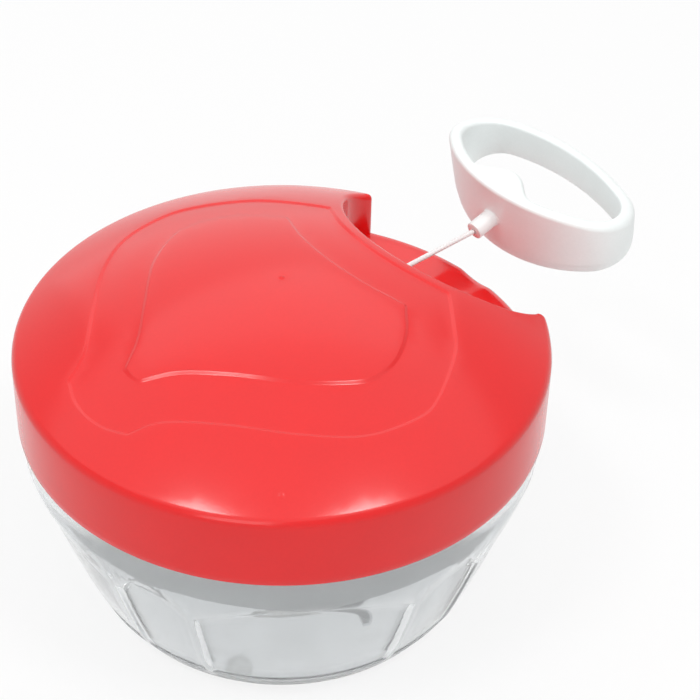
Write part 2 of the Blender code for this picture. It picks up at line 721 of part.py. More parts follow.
def make_scoop():
    """The cutter for the shallow finger scoop in the notch's floor, at the lid's edge."""
    radius = (SCOOP_WIDTH ** 2 / 4 + SCOOP_DEPTH ** 2) / (2 * SCOOP_DEPTH)
    length = SCOOP_LENGTH + OVERRUN
    scoop = round_bar("finger_scoop", radius, 0, length, MEDIUM_SIDES)
    scoop.location = (LID_RADIUS - SCOOP_LENGTH, 0, NOTCH_FLOOR - SCOOP_DEPTH + radius)
    scoop.rotation_euler.y = pi / 2
    return scoop


def make_eyelet():
    """The flanged steel eyelet at the back of the pocket, which the cord runs through."""
    flange = GAP + EYELET_FLANGE
    tail = -POCKET_WALL - EYELET_TAIL
    profile = [(EYELET_BORE_RADIUS, tail), (EYELET_RADIUS, tail), (EYELET_RADIUS, GAP),
               (EYELET_FLANGE_RADIUS, GAP), (EYELET_FLANGE_RADIUS, flange),
               (EYELET_BORE_RADIUS, flange)]
    eyelet = turned("cord_eyelet", profile, SMALL_SIDES, "fastener_steel")
    eyelet.location = (POCKET_BACK, 0, CORD_HEIGHT)
    eyelet.rotation_euler.y = pi / 2


# Inner cover


def cover_radius():
    """The skirt's outer radius, clear of the bowl where the skirt ends."""
    return bowl_radius(COVER_BOTTOM) - BOWL_WALL - COVER_CLEARANCE


def seal_radii():
    """The seal's inner and outer radius, just clear of the bowl's wall."""
    outer = bowl_radius(COVER_TOP - SEAL_TOP_DROP - SEAL_HEIGHT) - BOWL_WALL - GAP
    return outer - SEAL_THICKNESS, outer


def make_inner_cover():
    """The pale plate that closes the lid, with a skirt that plugs into the bowl's mouth."""
    outer = cover_radius()
    inner = outer - COVER_WALL
    collar = HUB_RADIUS + GAP
    seal_top = COVER_TOP - SEAL_TOP_DROP + GAP
    seal_bottom = seal_top - SEAL_HEIGHT - 2 * GAP
    seal_back = seal_radii()[0] - GAP
    flange = LID_RADIUS - LID_WALL - GAP
    profile = [(collar, PLATE_BOTTOM), (inner, PLATE_BOTTOM), (inner, COVER_BOTTOM),
               (outer, COVER_BOTTOM), (outer, seal_bottom), (seal_back, seal_bottom),
               (seal_back, seal_top), (outer, seal_top), (outer, COVER_FLANGE_BOTTOM),
               (flange, COVER_FLANGE_BOTTOM), (flange, COVER_TOP), (inner, COVER_TOP),
               (inner, PLATE_TOP), (collar + COLLAR_WALL, PLATE_TOP),
               (collar + COLLAR_WALL, COLLAR_TOP), (collar, COLLAR_TOP)]
    cover = turned("inner_cover", profile, LARGE_SIDES, "grey_plastic")
    for number in range(len(SCREW_ANGLES)):
        hole = round_bar(f"cover_hole_{number + 1}", SCREW_RADIUS + GAP, PLATE_BOTTOM - OVERRUN,
                         PLATE_TOP + OVERRUN)
        hole.location = screw_place(number)
        combine(cover, hole)


def make_seal_ring():
    """The soft ring in the skirt's groove that seals against the bowl's wall."""
    top = COVER_TOP - SEAL_TOP_DROP
    bottom = top - SEAL_HEIGHT
    cover = cover_radius()
    inner, outer = seal_radii()
    middle = (top + bottom) / 2
    profile = [(inner, bottom), (cover, bottom), (outer, middle), (cover, top), (inner, top)]
    turned("seal_ring", profile, LARGE_SIDES, "silicone")


def make_cover_screws():
    """Slotted pan-head screws from below, through the plate and into the lid's posts."""
    top = PLATE_BOTTOM - GAP
    bottom = top - SCREW_HEAD
    end = PLATE_BOTTOM + SCREW_LENGTH
    for number in range(len(SCREW_ANGLES)):
        profile = [(0, bottom), (SCREW_HEAD_RADIUS - SCREW_HEAD / 2, bottom),
                   (SCREW_HEAD_RADIUS, bottom + SCREW_HEAD / 2), (SCREW_HEAD_RADIUS, top),
                   (SCREW_RADIUS, top), (SCREW_RADIUS, end - SCREW_RADIUS), (0, end)]
        screw = turned(f"cover_screw_{number + 1}", profile, SMALL_SIDES, "fastener_steel")
        screw.location = screw_place(number)
        half = SCREW_SLOT / 2
        reach = SCREW_HEAD_RADIUS + OVERRUN
        outline = [(-reach, -half), (reach, -half), (reach, half), (-reach, half)]
        slot = prism(f"screw_slot_{number + 1}", outline, bottom - OVERRUN, bottom + SCREW_HEAD / 2)
        slot.location = screw_place(number)
        combine(screw, slot)


# Reel and recoil spring


def make_reel(parent):
    """The cord's drum, with a cup for the spring above and pins for the pawls below."""
    bore = BOLT_RADIUS + GAP
    cup = REEL_RADIUS - REEL_CUP_WALL
    profile = [(bore, REEL_HUB_BOTTOM), (REEL_HUB_RADIUS, REEL_HUB_BOTTOM),
               (REEL_HUB_RADIUS, REEL_FLANGE_BOTTOM), (REEL_RADIUS, REEL_FLANGE_BOTTOM),
               (REEL_RADIUS, GROOVE_BOTTOM), (REEL_CORE_RADIUS, GROOVE_BOTTOM),
               (REEL_CORE_RADIUS, GROOVE_TOP), (REEL_RADIUS, GROOVE_TOP),
               (REEL_RADIUS, REEL_CUP_TOP), (cup, REEL_CUP_TOP), (cup, REEL_CUP_FLOOR),
               (bore, REEL_CUP_FLOOR)]
    reel = turned("cord_reel", profile, MEDIUM_SIDES, "natural_plastic", parent)
    bottom = REEL_FLANGE_BOTTOM - PAWL_TOP_GAP - PAWL_THICKNESS - GAP
    for number in range(PAWL_COUNT):
        pin = round_bar(f"pawl_pin_{number + 1}", PAWL_PIN_RADIUS, bottom,
                        REEL_FLANGE_BOTTOM + REEL_FLANGE / 2, SMALL_SIDES, parent)
        pin.location = polar(PAWL_CIRCLE_RADIUS, 2 * pi * number / PAWL_COUNT)
        combine(reel, pin, "UNION")


def make_winding(parent):
    """The cord wound on the drum, as the ring of space that its turns fill."""
    inner = REEL_CORE_RADIUS + GAP
    low, high = GROOVE_BOTTOM + GAP, GROOVE_TOP - GAP
    profile = [(inner, low), (WINDING_RADIUS, low), (WINDING_RADIUS, high), (inner, high)]
    turned("cord_winding", profile, MEDIUM_SIDES, "cord_polyester", parent)


def make_spring():
    """The flat recoil spring, a spiral strip from the lid's boss out to the reel's cup."""
    inner = LID_BOSS_RADIUS + GAP + SPRING_THICKNESS / 2
    outer = REEL_RADIUS - REEL_CUP_WALL - GAP - SPRING_THICKNESS / 2
    low = REEL_CUP_FLOOR + GAP
    steps = SPRING_TURNS * SPRING_STEPS_PER_TURN
    half = SPRING_THICKNESS / 2
    rings = []
    for step in range(steps + 1):
        angle = 2 * pi * step / SPRING_STEPS_PER_TURN
        radius = inner + (outer - inner) * step / steps
        near, far = polar(radius - half, angle), polar(radius + half, angle)
        rise = Vector((0, 0, SPRING_HEIGHT))
        base = Vector((0, 0, low))
        rings.append([near + base, far + base, far + base + rise, near + base + rise])
    swept("recoil_spring", rings, "spring_steel")


def make_spring_cap(parent):
    """The thin cap over the spring, on the reel's cup."""
    low = REEL_CUP_TOP + GAP
    inner = LID_BOSS_RADIUS + 2 * GAP
    profile = [(inner, low), (REEL_RADIUS, low), (REEL_RADIUS, low + CAP_THICKNESS),
               (inner, low + CAP_THICKNESS)]
    turned("spring_cap", profile, MEDIUM_SIDES, "natural_plastic", parent)


def make_axle():
    """The bolt that the reel turns on, driven up into the lid's boss, and its washer."""
    top = LID_TOP - BOLT_TOP_DEPTH
    bottom = BOLT_HEAD_TOP - BOLT_HEAD
    profile = [(0, bottom), (BOLT_HEAD_RADIUS, bottom), (BOLT_HEAD_RADIUS, BOLT_HEAD_TOP),
               (BOLT_RADIUS, BOLT_HEAD_TOP), (BOLT_RADIUS, top), (0, top)]
    bolt = turned("axle_bolt", profile, SMALL_SIDES, "fastener_steel")
    drive = prism("bolt_drive", hexagon(BOLT_HEAD_RADIUS), bottom - OVERRUN, bottom + BOLT_HEAD / 2)
    combine(bolt, drive)
    low = WASHER_TOP - WASHER_THICKNESS
    bore = BOLT_RADIUS + GAP
    profile = [(bore, low), (WASHER_RADIUS, low), (WASHER_RADIUS, WASHER_TOP), (bore, WASHER_TOP)]
    turned("axle_washer", profile, SMALL_SIDES, "fastener_steel")


# One-way clutch and drive hub


def pawl_outline():
    """A pawl in plan about its pin: a round eye drawn out to a small tip."""
    tip = polar(PAWL_TIP_CIRCLE_RADIUS, PAWL_TIP_ANGLE) - Vector((PAWL_CIRCLE_RADIUS, 0, 0))
    lean = atan2(tip.y, tip.x)
    spread = acos((PAWL_EYE_RADIUS - PAWL_TIP_RADIUS) / tip.length)
    eye = arc((0, 0), PAWL_EYE_RADIUS, lean + spread, lean + 2 * pi - spread, 14)
    point = arc((tip.x, tip.y), PAWL_TIP_RADIUS, lean - spread, lean + spread, 6)
    return eye + point


def make_pawls(reel_axis):
    """Three pawls, each on its pin, with the tip held against a tooth of the cup."""
    low = REEL_FLANGE_BOTTOM - PAWL_TOP_GAP - PAWL_THICKNESS
    for number in range(PAWL_COUNT):
        angle = 2 * pi * number / PAWL_COUNT
        pivot = bpy.data.objects.new(f"pawl_pivot_{number + 1}", None)
        bpy.context.collection.objects.link(pivot)
        pivot.parent = reel_axis
        pivot.location = polar(PAWL_CIRCLE_RADIUS, angle)
        pivot.rotation_euler.z = angle
        pawl = prism(f"pawl_{number + 1}", pawl_outline(), low, low + PAWL_THICKNESS,
                     "white_plastic", pivot)
        eye = round_bar(f"pawl_eye_{number + 1}", PAWL_PIN_RADIUS + GAP, low - OVERRUN,
                        low + PAWL_THICKNESS + OVERRUN, SMALL_SIDES, pivot)
        combine(pawl, eye)


def tooth_outline():
    """The inside of the cup in plan: saw teeth whose steep sides face the pawls."""
    outline = []
    crest = TOOTH_ROOT_RADIUS - TOOTH_DEPTH
    pitch = 2 * pi / TOOTH_COUNT
    for number in range(TOOTH_COUNT):
        start = TOOTH_FACE_ANGLE + number * pitch
        for step in range(4):
            share = step / 3
            radius = crest + TOOTH_DEPTH * share
            place = polar(radius, start + pitch * share)
            outline.append((place.x, place.y))
    return outline


def make_drive_hub(parent):
    """The toothed cup and the hub below it, with a six-sided socket for the blade shaft."""
    clip_top = PLATE_BOTTOM - CLIP_PLATE_GAP + GAP
    clip_bottom = clip_top - CLIP_THICKNESS - 2 * GAP
    neck = HUB_RADIUS - CLIP_GROOVE
    profile = [(0, HUB_BOTTOM), (HUB_RADIUS, HUB_BOTTOM), (HUB_RADIUS, clip_bottom),
               (neck, clip_bottom), (neck, clip_top), (HUB_RADIUS, clip_top),
               (HUB_RADIUS, CUP_BOTTOM), (CUP_RADIUS, CUP_BOTTOM), (CUP_RADIUS, CUP_TOP), (0, CUP_TOP)]
    hub = turned("drive_hub", profile, MEDIUM_SIDES, "white_plastic", parent)
    combine(hub, prism("cup_teeth", tooth_outline(), CUP_BOTTOM + CUP_FLOOR, CUP_TOP + OVERRUN,
                       None, parent))
    combine(hub, prism("hub_socket", hexagon(SOCKET_FLATS), HUB_BOTTOM - OVERRUN, SOCKET_TOP,
                       None, parent))
    inner = neck + GAP
    low = clip_bottom + GAP
    outer = inner + CLIP_WIDTH
    profile = [(inner, low), (outer, low), (outer, low + CLIP_THICKNESS),
               (inner, low + CLIP_THICKNESS)]
    clip = turned("hub_clip", profile, MEDIUM_SIDES, "spring_steel", parent)
    half = CLIP_OPENING / 2
    outline = [(0, -half), (outer + OVERRUN, -half), (outer + OVERRUN, half), (0, half)]
    combine(clip, prism("clip_gap", outline, low - OVERRUN, low + CLIP_THICKNESS + OVERRUN,
                        None, parent))


# Handle


def lens(near_radius, far_radius, end_radius, depth, shift=0):
    """A lens in plan: a near arc, two round ends and a far arc, from the middle of the far side."""
    near_centre = shift + near_radius
    far_centre = shift + depth - far_radius
    near, far = near_radius - end_radius, far_radius - end_radius
    apart = near_centre - far_centre
    x = far_centre + (apart ** 2 + far ** 2 - near ** 2) / (2 * apart)
    y = sqrt(far ** 2 - (x - far_centre) ** 2)
    from_near = atan2(y, x - near_centre)
    from_far = atan2(y, x - far_centre)
    half = arc((near_centre, 0), near_radius, pi, from_near, NEAR_STEPS)
    half += arc((x, y), end_radius, from_near, from_far, END_STEPS)[1:]
    half += arc((far_centre, 0), far_radius, from_far, 0, FAR_STEPS)[1:]
    return half + [(px, -py) for px, py in half[-2:0:-1]]


def handle_loop(inset, bump):
    """The handle's outline set in by a distance, with the swelling between the fingers."""
    loop = lens(HANDLE_NEAR_RADIUS - inset, LID_RADIUS - inset, HANDLE_END_RADIUS - inset,
                HANDLE_DEPTH - 2 * inset, inset)
    shaped = []
    for x, y in loop:
        if x < HANDLE_DEPTH / 2 and abs(y) < HANDLE_BUMP_WIDTH / 2:
            x += bump * cos(pi * y / HANDLE_BUMP_WIDTH) ** 2
        shaped.append((x + BOSS_LENGTH, y))
    return shaped


def handle_top(x, y):
    """Height of the handle's top over the cord, which carries on the lid's dome."""
    reach = hypot(BOSS_DOCKED_TIP + x, y)
    return DOME_CENTRE + sqrt(DOME_RADIUS ** 2 - reach ** 2) - CORD_HEIGHT


def make_handle(parent):
    """The white ring handle: a drafted wall, a swelling between the fingers and the cord's boss."""
    bottom = -HANDLE_BELOW_CORD
    edge = HANDLE_ROUND
    rows = [(HANDLE_DRAFT + edge / 2, 0, bottom, None), (HANDLE_DRAFT / 2, 0, bottom + edge, None),
            (0, 0, None, -edge), (edge, 0, None, 0),
            (HANDLE_WALL - edge, 1, None, 0), (HANDLE_WALL, 1, None, -edge),
            (HANDLE_WALL, 1, bottom + edge, None), (HANDLE_WALL - edge / 2, 1, bottom, None)]
    rings = []
    for inset, inner, level, below_top in rows:
        loop = handle_loop(inset, HANDLE_BUMP * inner)
        if level is None:
            rings.append([(x, y, handle_top(x, y) + below_top) for x, y in loop])
        else:
            rings.append([(x, y, level) for x, y in loop])
    handle = rings_solid("pull_handle", rings, "white_plastic", parent)
    root = BOSS_LENGTH + HANDLE_WALL / 2
    flare = BOSS_ROOT_RADIUS - BOSS_RADIUS
    profile = [(0, 0), (BOSS_RADIUS, 0), (BOSS_RADIUS, BOSS_LENGTH - flare),
               (BOSS_ROOT_RADIUS, BOSS_LENGTH + flare), (BOSS_ROOT_RADIUS, root), (0, root)]
    boss = turned("handle_boss", profile, SMALL_SIDES, None, parent)
    boss.rotation_euler.y = pi / 2
    combine(handle, boss, "UNION")
    knot = knot_place()
    bore = drill("cord_bore", BOSS_BORE_RADIUS, -OVERRUN, knot, parent)
    bore.rotation_euler.y = pi / 2
    combine(handle, bore)
    room = round_bar("knot_room", KNOT_RADIUS + KNOT_ROOM, bottom - OVERRUN,
                     KNOT_RADIUS + KNOT_ROOM, SMALL_SIDES, parent)
    room.location.x = knot
    combine(handle, room)


def knot_place():
    """How far behind the boss's tip the cord's knot lies, in the middle of the swelling."""
    return BOSS_LENGTH + (HANDLE_WALL + HANDLE_BUMP) / 2


def make_knot(parent):
    """The cord's end inside the handle: a straight tail and the knot that holds it."""
    knot = knot_place()
    tail = asin(CORD_RADIUS / KNOT_RADIUS)
    ball = arc((0, knot), KNOT_RADIUS, tail - pi / 2, pi / 2, 7)[:-1]
    profile = [(0, GAP), (CORD_RADIUS, GAP)] + ball + [(0, knot + KNOT_RADIUS)]
    piece = turned("cord_knot", profile, SMALL_SIDES, "cord_polyester", parent)
    piece.rotation_euler.y = pi / 2


# Cord


def cord_route():
    """The cord's middle line, from the winding, round behind the eyelet and out to the handle."""
    reel_radius = WINDING_RADIUS + GAP + CORD_RADIUS
    corner_x = POCKET_BACK - POCKET_WALL - EYELET_TAIL - CORD_RADIUS
    leave = acos(reel_radius / corner_x)
    turn = pi / 2 - leave
    cut = CORD_BEND_RADIUS * tan(turn / 2)
    start = polar(reel_radius, -leave)
    corner = Vector((corner_x, 0, 0))
    back = (start - corner).normalized()
    bend_start = corner + back * cut
    bend_centre = Vector((corner_x + cut, -CORD_BEND_RADIUS, 0))
    points = [start, (start + bend_start) / 2, bend_start]
    for step in range(1, 5):
        angle = pi / 2 + turn * (1 - step / 4)
        points.append(bend_centre + polar(CORD_BEND_RADIUS, angle))
    end = HANDLE_TIP - CORD_DIRECTION * GAP
    first = points[-1]
    count = max(2, round((end.x - first.x) / CORD_STEP))
    for step in range(1, count + 1):
        points.append(first + Vector((end.x - first.x, 0, 0)) * step / count)
    return [Vector((p.x, p.y, cord_level(p.x))) for p in points]


def cord_level(x):
    """The cord's height: it climbs evenly from the eyelet out to the handle."""
    return CORD_HEIGHT + (x - BOSS_DOCKED_TIP) * tan(CORD_RISE_ANGLE)


def make_cord():
    """The taut cord between the reel and the handle."""
    curve = bpy.data.curves.new("pull_cord", "CURVE")
    curve.dimensions = "3D"
    curve.bevel_depth = CORD_RADIUS
    curve.bevel_resolution = 2
    curve.use_fill_caps = True
    spline = curve.splines.new("POLY")
    route = cord_route()
    spline.points.add(len(route) - 1)
    for point, place in zip(spline.points, route):
        point.co = (*place, 1)
    curve.materials.append(finish("cord_polyester"))
    cord = bpy.data.objects.new("pull_cord", curve)
    bpy.context.collection.objects.link(cord)


def empty(name, place=(0, 0, 0)):
    """An empty on a joint's axis, for what turns or slides there."""
    made = bpy.data.objects.new(name, None)
    made.location = place
    bpy.context.collection.objects.link(made)
    return made


def main():
    """Build every piece."""
    clear_scene()
    make_bowl()
    make_foot_pads()
    make_bowl_pin()
    blade_axis = empty("blade_axis")
    make_blade_shaft(blade_axis)
    make_blades(blade_axis)
    make_lid_cover()
    make_eyelet()
    make_inner_cover()
    make_seal_ring()
    make_cover_screws()
    reel_axis = empty("reel_axis")
    make_reel(reel_axis)
    make_winding(reel_axis)
    make_spring()
    make_spring_cap(reel_axis)
    make_axle()
    make_pawls(reel_axis)
    make_drive_hub(empty("hub_axis"))
    handle_pivot = empty("handle_pivot", HANDLE_TIP)
    handle_pivot.rotation_euler = Matrix.Rotation(HANDLE_TILT, 3, HANDLE_TILT_AXIS).to_euler()
    make_handle(handle_pivot)
    make_knot(handle_pivot)
    make_cord()


main()
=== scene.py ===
"""Looks of a pull-cord food chopper: its shapes, finishes and cord, with camera, floor and light.

It is laid out as an add-on and run as a script. Metres, +Z up; the origin is the centre of the
bowl's underside and +X is the way that the cord is pulled.
"""

from math import acos, asin, atan2, cos, hypot, pi, radians, sin, sqrt, tan

import bmesh
import bpy
from bpy.props import FloatProperty, FloatVectorProperty, PointerProperty
from mathutils import Matrix, Vector
from mathutils.geometry import delaunay_2d_cdt
from mathutils.kdtree import KDTree


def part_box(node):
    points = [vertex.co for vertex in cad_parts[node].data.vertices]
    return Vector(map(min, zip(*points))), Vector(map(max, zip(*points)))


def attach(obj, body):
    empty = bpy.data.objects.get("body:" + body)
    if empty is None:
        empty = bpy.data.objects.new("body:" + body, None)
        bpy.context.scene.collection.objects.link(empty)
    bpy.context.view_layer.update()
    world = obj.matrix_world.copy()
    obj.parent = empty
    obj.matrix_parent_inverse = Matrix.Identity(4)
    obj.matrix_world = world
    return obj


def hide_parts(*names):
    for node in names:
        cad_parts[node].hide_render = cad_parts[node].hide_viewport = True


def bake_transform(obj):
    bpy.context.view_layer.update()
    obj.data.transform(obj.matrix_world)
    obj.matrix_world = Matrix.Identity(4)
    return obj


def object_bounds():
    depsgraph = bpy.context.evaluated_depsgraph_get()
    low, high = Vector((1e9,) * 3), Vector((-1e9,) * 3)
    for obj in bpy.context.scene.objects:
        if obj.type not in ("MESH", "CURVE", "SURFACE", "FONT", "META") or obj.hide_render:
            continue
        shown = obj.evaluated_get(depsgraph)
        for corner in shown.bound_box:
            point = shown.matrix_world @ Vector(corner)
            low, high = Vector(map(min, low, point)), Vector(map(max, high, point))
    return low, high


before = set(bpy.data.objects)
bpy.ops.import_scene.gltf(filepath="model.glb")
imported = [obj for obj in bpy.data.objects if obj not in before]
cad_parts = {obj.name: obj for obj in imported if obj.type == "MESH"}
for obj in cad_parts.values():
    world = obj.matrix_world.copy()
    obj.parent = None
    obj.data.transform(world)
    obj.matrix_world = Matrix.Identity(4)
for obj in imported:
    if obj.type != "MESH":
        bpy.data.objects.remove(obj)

bl_info = {
    "name": "Food chopper looks",
    "version": (1, 0),
    "blender": (4, 5, 0),
    "location": "3D View > Sidebar > Chopper",
    "description": "Shapes and finishes of a pull-cord food chopper",
    "category": "Object",
}

CAD_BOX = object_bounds()
GAP = 0.0003
OVERRUN = 0.002
HALF_SIDE = 0.5
CORNER_SHARE = 0.3
SHARP_ANGLE = radians(35)
WELD_REACH = 0.000002
THIN_REACH = 0.0000005
CUT_SCALE = 1000
CUT_REACH = 0.00001

# Heights and radii read from the frame
LID_LOW, LID_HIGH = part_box("lid_cover")
BOWL_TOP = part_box("bowl")[1].z
HUB_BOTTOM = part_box("drive_hub")[0].z
REEL_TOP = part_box("cord_reel")[1].z
COVER_LOW, COVER_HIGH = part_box("inner_cover")
SEAL_LOW, SEAL_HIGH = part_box("seal_ring")
EYELET_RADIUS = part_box("cord_eyelet")[1].y
BOLT_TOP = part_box("axle_bolt")[1].z
SCREW_BOXES = [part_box(f"cover_screw_{number}") for number in (1, 2, 3, 4)]

# Bowl's form
FLARE_HEIGHT = 0.0477
FLARE_POWER = 0.78
SWELL = 0.0012
SWELL_RUN = 0.012
LEDGE_GAP = 0.0004
LEDGE_ROUND = 0.0006
LEDGE_DRAFT = 0.0004
WALL_STEPS = 9
PANEL_PAIRS = 5
WIDE_PANEL_STEPS = 18
NARROW_PANEL_STEPS = 7
PANEL_START_ANGLE = radians(237.5)
PANEL_LOW = 0.007
PANEL_TOP = 0.0435
PANEL_SHOULDER = 0.0355
PANEL_EDGE = 0.0012
WIDE_SHARE = 0.66
RIB_SHARE = 0.014
RIB_SIDE_SHARE = 0.024
RIB_SIDE_STEPS = ((0.25, 0.85), (0.5, 0.5), (0.75, 0.15), (1, 0))
PANEL_STEPS = ((0, 0), (0, 0.15), (0, 0.5), (0, 0.85), (0, 1), (0.15, 1), (0.3, 1), (0.45, 1),
               (0.6, 1), (0.75, 1), (0.9, 1), (1, 1), (1, 0.85), (1, 0.5), (1, 0.15), (1, 0))
FOOT_ROUND = 0.0012
RIM_ROUND = 0.0008
FLOOR_FILLET = 0.005
PIN_BOSS_RADIUS = 0.0056
PIN_BOSS_HEIGHT = 0.0065
PIN_BOSS_FILLET = 0.0008
PIN_SEAT_DEPTH = 0.0052
PIN_RADIUS = 0.0024
PAD_SEAT_HEIGHT = 0.001
RUBBED_LOW = 0.0008
RUBBED_HIGH = 0.0045

# Lid's form
LID_WALL = 0.0018
SHOULDER_HEIGHT = 0.076
SHOULDER_FILLET = 0.003
NOTCH_RADIUS = 0.037
NOTCH_BACK = 0.0303
NOTCH_BLEND = 0.014
NOTCH_HALF_WIDTH = 0.0318
NOTCH_CORNER = 0.0018
NOTCH_FLOOR_DROP = 0.0129
HORN_EDGE = 0.0016
HORN_RUN = 0.014
LIP_ROUND = 0.003
LIP_TURNS = (0, pi * 0.14, pi * 0.28, pi * 0.41)
SCOOP_START = 0.049
SCOOP_RUN = 0.009
SCOOP_HALF_WIDTH = 0.006
SCOOP_POWER = 1.5
SKIRT_EDGE = 0.00035
SKIRT_STEPS = ((0, 6), (0, 1), (CORNER_SHARE, CORNER_SHARE), (1, 0))
EDGE_ROUNDS = 3
EDGE_STEPS = 7
LIP_STEP = radians(1.6)
SCOOP_MARGIN = 1.25
SCOOP_STEPS = 12
TOP_SPACING = 0.0026
FLOOR_SPACING = 0.002
SCOOP_SPACING = 0.0007
ROW_SHARE = 0.866
DOME_STEPS = 14
POCKET_BACK = 0.0238
POCKET_WALL = 0.0018
POCKET_BACK_RADIUS = 0.0032
POCKET_MOUTH_RADIUS = 0.005
POCKET_MOUTH_FLARE = 0.0006
EYELET_NECK_SHARE = 0.73
POST_WALL = 0.0016
SCREW_HOLE_RADIUS = 0.0017
SCREW_LENGTH = 0.012
LID_BOSS_RADIUS = 0.0046
LID_BOSS_REACH = 0.0062
BOLT_HOLE_RADIUS = 0.0023
BOLT_HOLE_REACH = 0.007
PLATE_TOP = 0.056
PLATE_BOTTOM = 0.054
GATE_RADIUS = 0.0018
GATE_DEPTH = 0.00025
GATE_RINGS = ((0.1, -1.2), (0.16, -1), (0.4, 0.4), (0.48, 0.6), (0.7, 0.4), (1, 0))
DIMPLE_PLACE = (-0.0371, -0.0474)
DIMPLE_RADIUS = 0.001
DIMPLE_DEPTH = 0.0001
DIMPLE_RINGS = ((0.25, 1), (0.5, 0.7), (0.75, 0.2), (1, 0))

# Embossed contours of the lid, each half of it from the notch's side round to the front
OUTER_NOTCH = ((0.0335, -0.023), (0.0288, -0.012), (0.0271, 0), (0.0288, 0.012), (0.0335, 0.023))
OUTER_SIDE = ((0.0335, 0.023), (0.0267, 0.0323), (0.0206, 0.0397), (0.0083, 0.048), (0, 0.0501),
              (-0.0136, 0.0475), (-0.0258, 0.0388), (-0.0368, 0.0268), (-0.0468, 0.0158),
              (-0.0538, 0.012))
OUTER_FRONT = ((-0.0538, 0.012), (-0.0562, 0.0062), (-0.057, 0), (-0.0562, -0.0062),
               (-0.0538, -0.012))
INNER_NOTCH = ((0.0196, -0.0228), (0.0157, -0.012), (0.0143, 0), (0.0157, 0.012), (0.0196, 0.0228))
INNER_SIDE = ((0.0196, 0.0228), (0.0135, 0.0303), (0.0062, 0.0355), (0, 0.0371), (-0.0062, 0.0362),
              (-0.0175, 0.0288), (-0.0283, 0.017), (-0.0366, 0.008), (-0.044, 0.0028))
INNER_FRONT = ((-0.044, 0.0028), (-0.0443, 0), (-0.044, -0.0028))
CONTOUR_STEP = 0.0011
CONTOUR_STEPS = ((1, 0), (0.7, 0.05), (0.36, 0.22), (-0.36, 0.78), (-0.7, 0.95), (-1, 1))

# Cord's route, with the reel that it leaves and the handle that it meets
WINDING_RADIUS = 0.017
EYELET_TAIL = 0.0004
CORD_BEND_RADIUS = 0.004
CORD_RISE_ANGLE = radians(2.25)
CORD_HEIGHT = 0.0767
DOCKED_TIP_X = 0.0249
PULL_OUT = 0.03823
CORD_SIDES = 14
CORD_RING_STEP = 0.0008

# Handle's form, as it lies level behind the tip of its boss
HANDLE_TILT = radians(16)
HANDLE_TILT_AXIS = Vector((0.32, -0.933, 0.162))
HANDLE_NEAR_RADIUS = 0.0366
HANDLE_FAR_RADIUS = 0.066
HANDLE_END_RADIUS = 0.0122
HANDLE_DEPTH = 0.0333
HANDLE_BELOW_CORD = 0.0123
HANDLE_DRAFT = 0.0006
HANDLE_BUMP = 0.0067
HANDLE_BUMP_WIDTH = 0.0218
HANDLE_FOOT_ROUND = 0.0008
PARTING_HEIGHT = 0.0032
PARTING_STEP = 0.00022
PARTING_INSET = HANDLE_DRAFT * 0.8
BOSS_RADIUS = 0.0024
BOSS_LENGTH = 0.0063
BOSS_FILLET = 0.0004
BOSS_FILLET_SINK = 0.0001
BOSS_TIP_ROUND = 0.0003
BOSS_BORE_RADIUS = 0.0008
KNOT_RADIUS = 0.0017
KNOT_ROOM = 0.0012

# Blades and their column
BLADE_HEIGHTS = (0.013, 0.025, 0.037)
BLADE_REACHES = (0.046, 0.05, 0.05)
BLADE_ANGLES = (radians(150), radians(270), radians(30))
BLADE_THICKNESS = 0.001
BLADE_ROOT_RADIUS = 0.0042
BLADE_ROOT_WIDTH = 0.006
BLADE_WIDTH = 0.0105
BLADE_TIP_WIDTH = 0.003
BLADE_SWEEP = 0.013
BLADE_STEPS = 20
BLADE_GRIND = 0.0016
BLADE_GRIND_RATE = 12
BLADE_GRIND_SHARE = 0.2
BLADE_BELLY = 0.7
BLADE_BRIM = 0.15
SHAFT_RADIUS = 0.0065
SHAFT_BASE_RADIUS = 0.0095
SHAFT_BASE = 0.0024
SHAFT_BASE_SLOPE = 0.002
SHAFT_BORE_TOP = 0.027
SHAFT_EDGE = 0.0004
SHAFT_SHOULDER_DROP = 0.001
SPIGOT_FLATS = 0.0094

# Inner cover and its seal
COVER_RADIUS = 0.0596
COVER_WALL = 0.0028
COVER_EDGE = 0.0004
COLLAR_RADIUS = 0.0088
COLLAR_WALL = 0.002
COLLAR_TOP = 0.0597
SEAL_GROOVE_RADIUS = 0.0586

# Camera
CAMERA_PLACE = (-0.2344, -0.3001, 0.3785)
CAMERA_AIM = (0, 0, 0.0701)
CAMERA_LENS = 102.34
CAMERA_SENSOR = 36
CAMERA_SHIFT = 0.0977

# Lights and floor
KEY_PLACES = {"left": (-0.6, -0.07, 1.2), "right": (0.08, -0.6, 1.2)}
KEY_SIZE = (0.3, 0.2)
FILL_PLACE = (-1.05, -0.75, 0.5)
FILL_SIZE = (0.6, 0.6)
OVERHEAD_PLACE = (-0.05, 0, 1.3)
OVERHEAD_SIZE = (3.0, 3.0)
FAR_PLACE = (0.75, 1.05, 0.85)
FAR_SIZE = (1.6, 1.6)
FLOOR_REACH = 12.0
FLOOR_GLOW = 0.82
FLOOR_FADE_START = 0.5
FLOOR_FADE_END = 2.5

# Tints of the pieces inside that have no setting
SEAL_TINT = (0.82, 0.82, 0.8)
PAD_TINT = (0.92, 0.92, 0.9)
PAD_CLEARNESS = 0.7
ZINC_TINT = (0.5, 0.5, 0.52)
SPRING_TINT = (0.3, 0.31, 0.34)
NATURAL_TINT = (0.76, 0.75, 0.71)
WHITE_TINT = (0.84, 0.84, 0.82)

# Sides of round forms
WIDE_SIDES = 144
COVER_SIDES = 160
SHAFT_SIDES = 72
MIDDLE_SIDES = 48
SEAT_SIDES = 32
HOLE_SIDES = 24
POST_HOLE_SIDES = 16

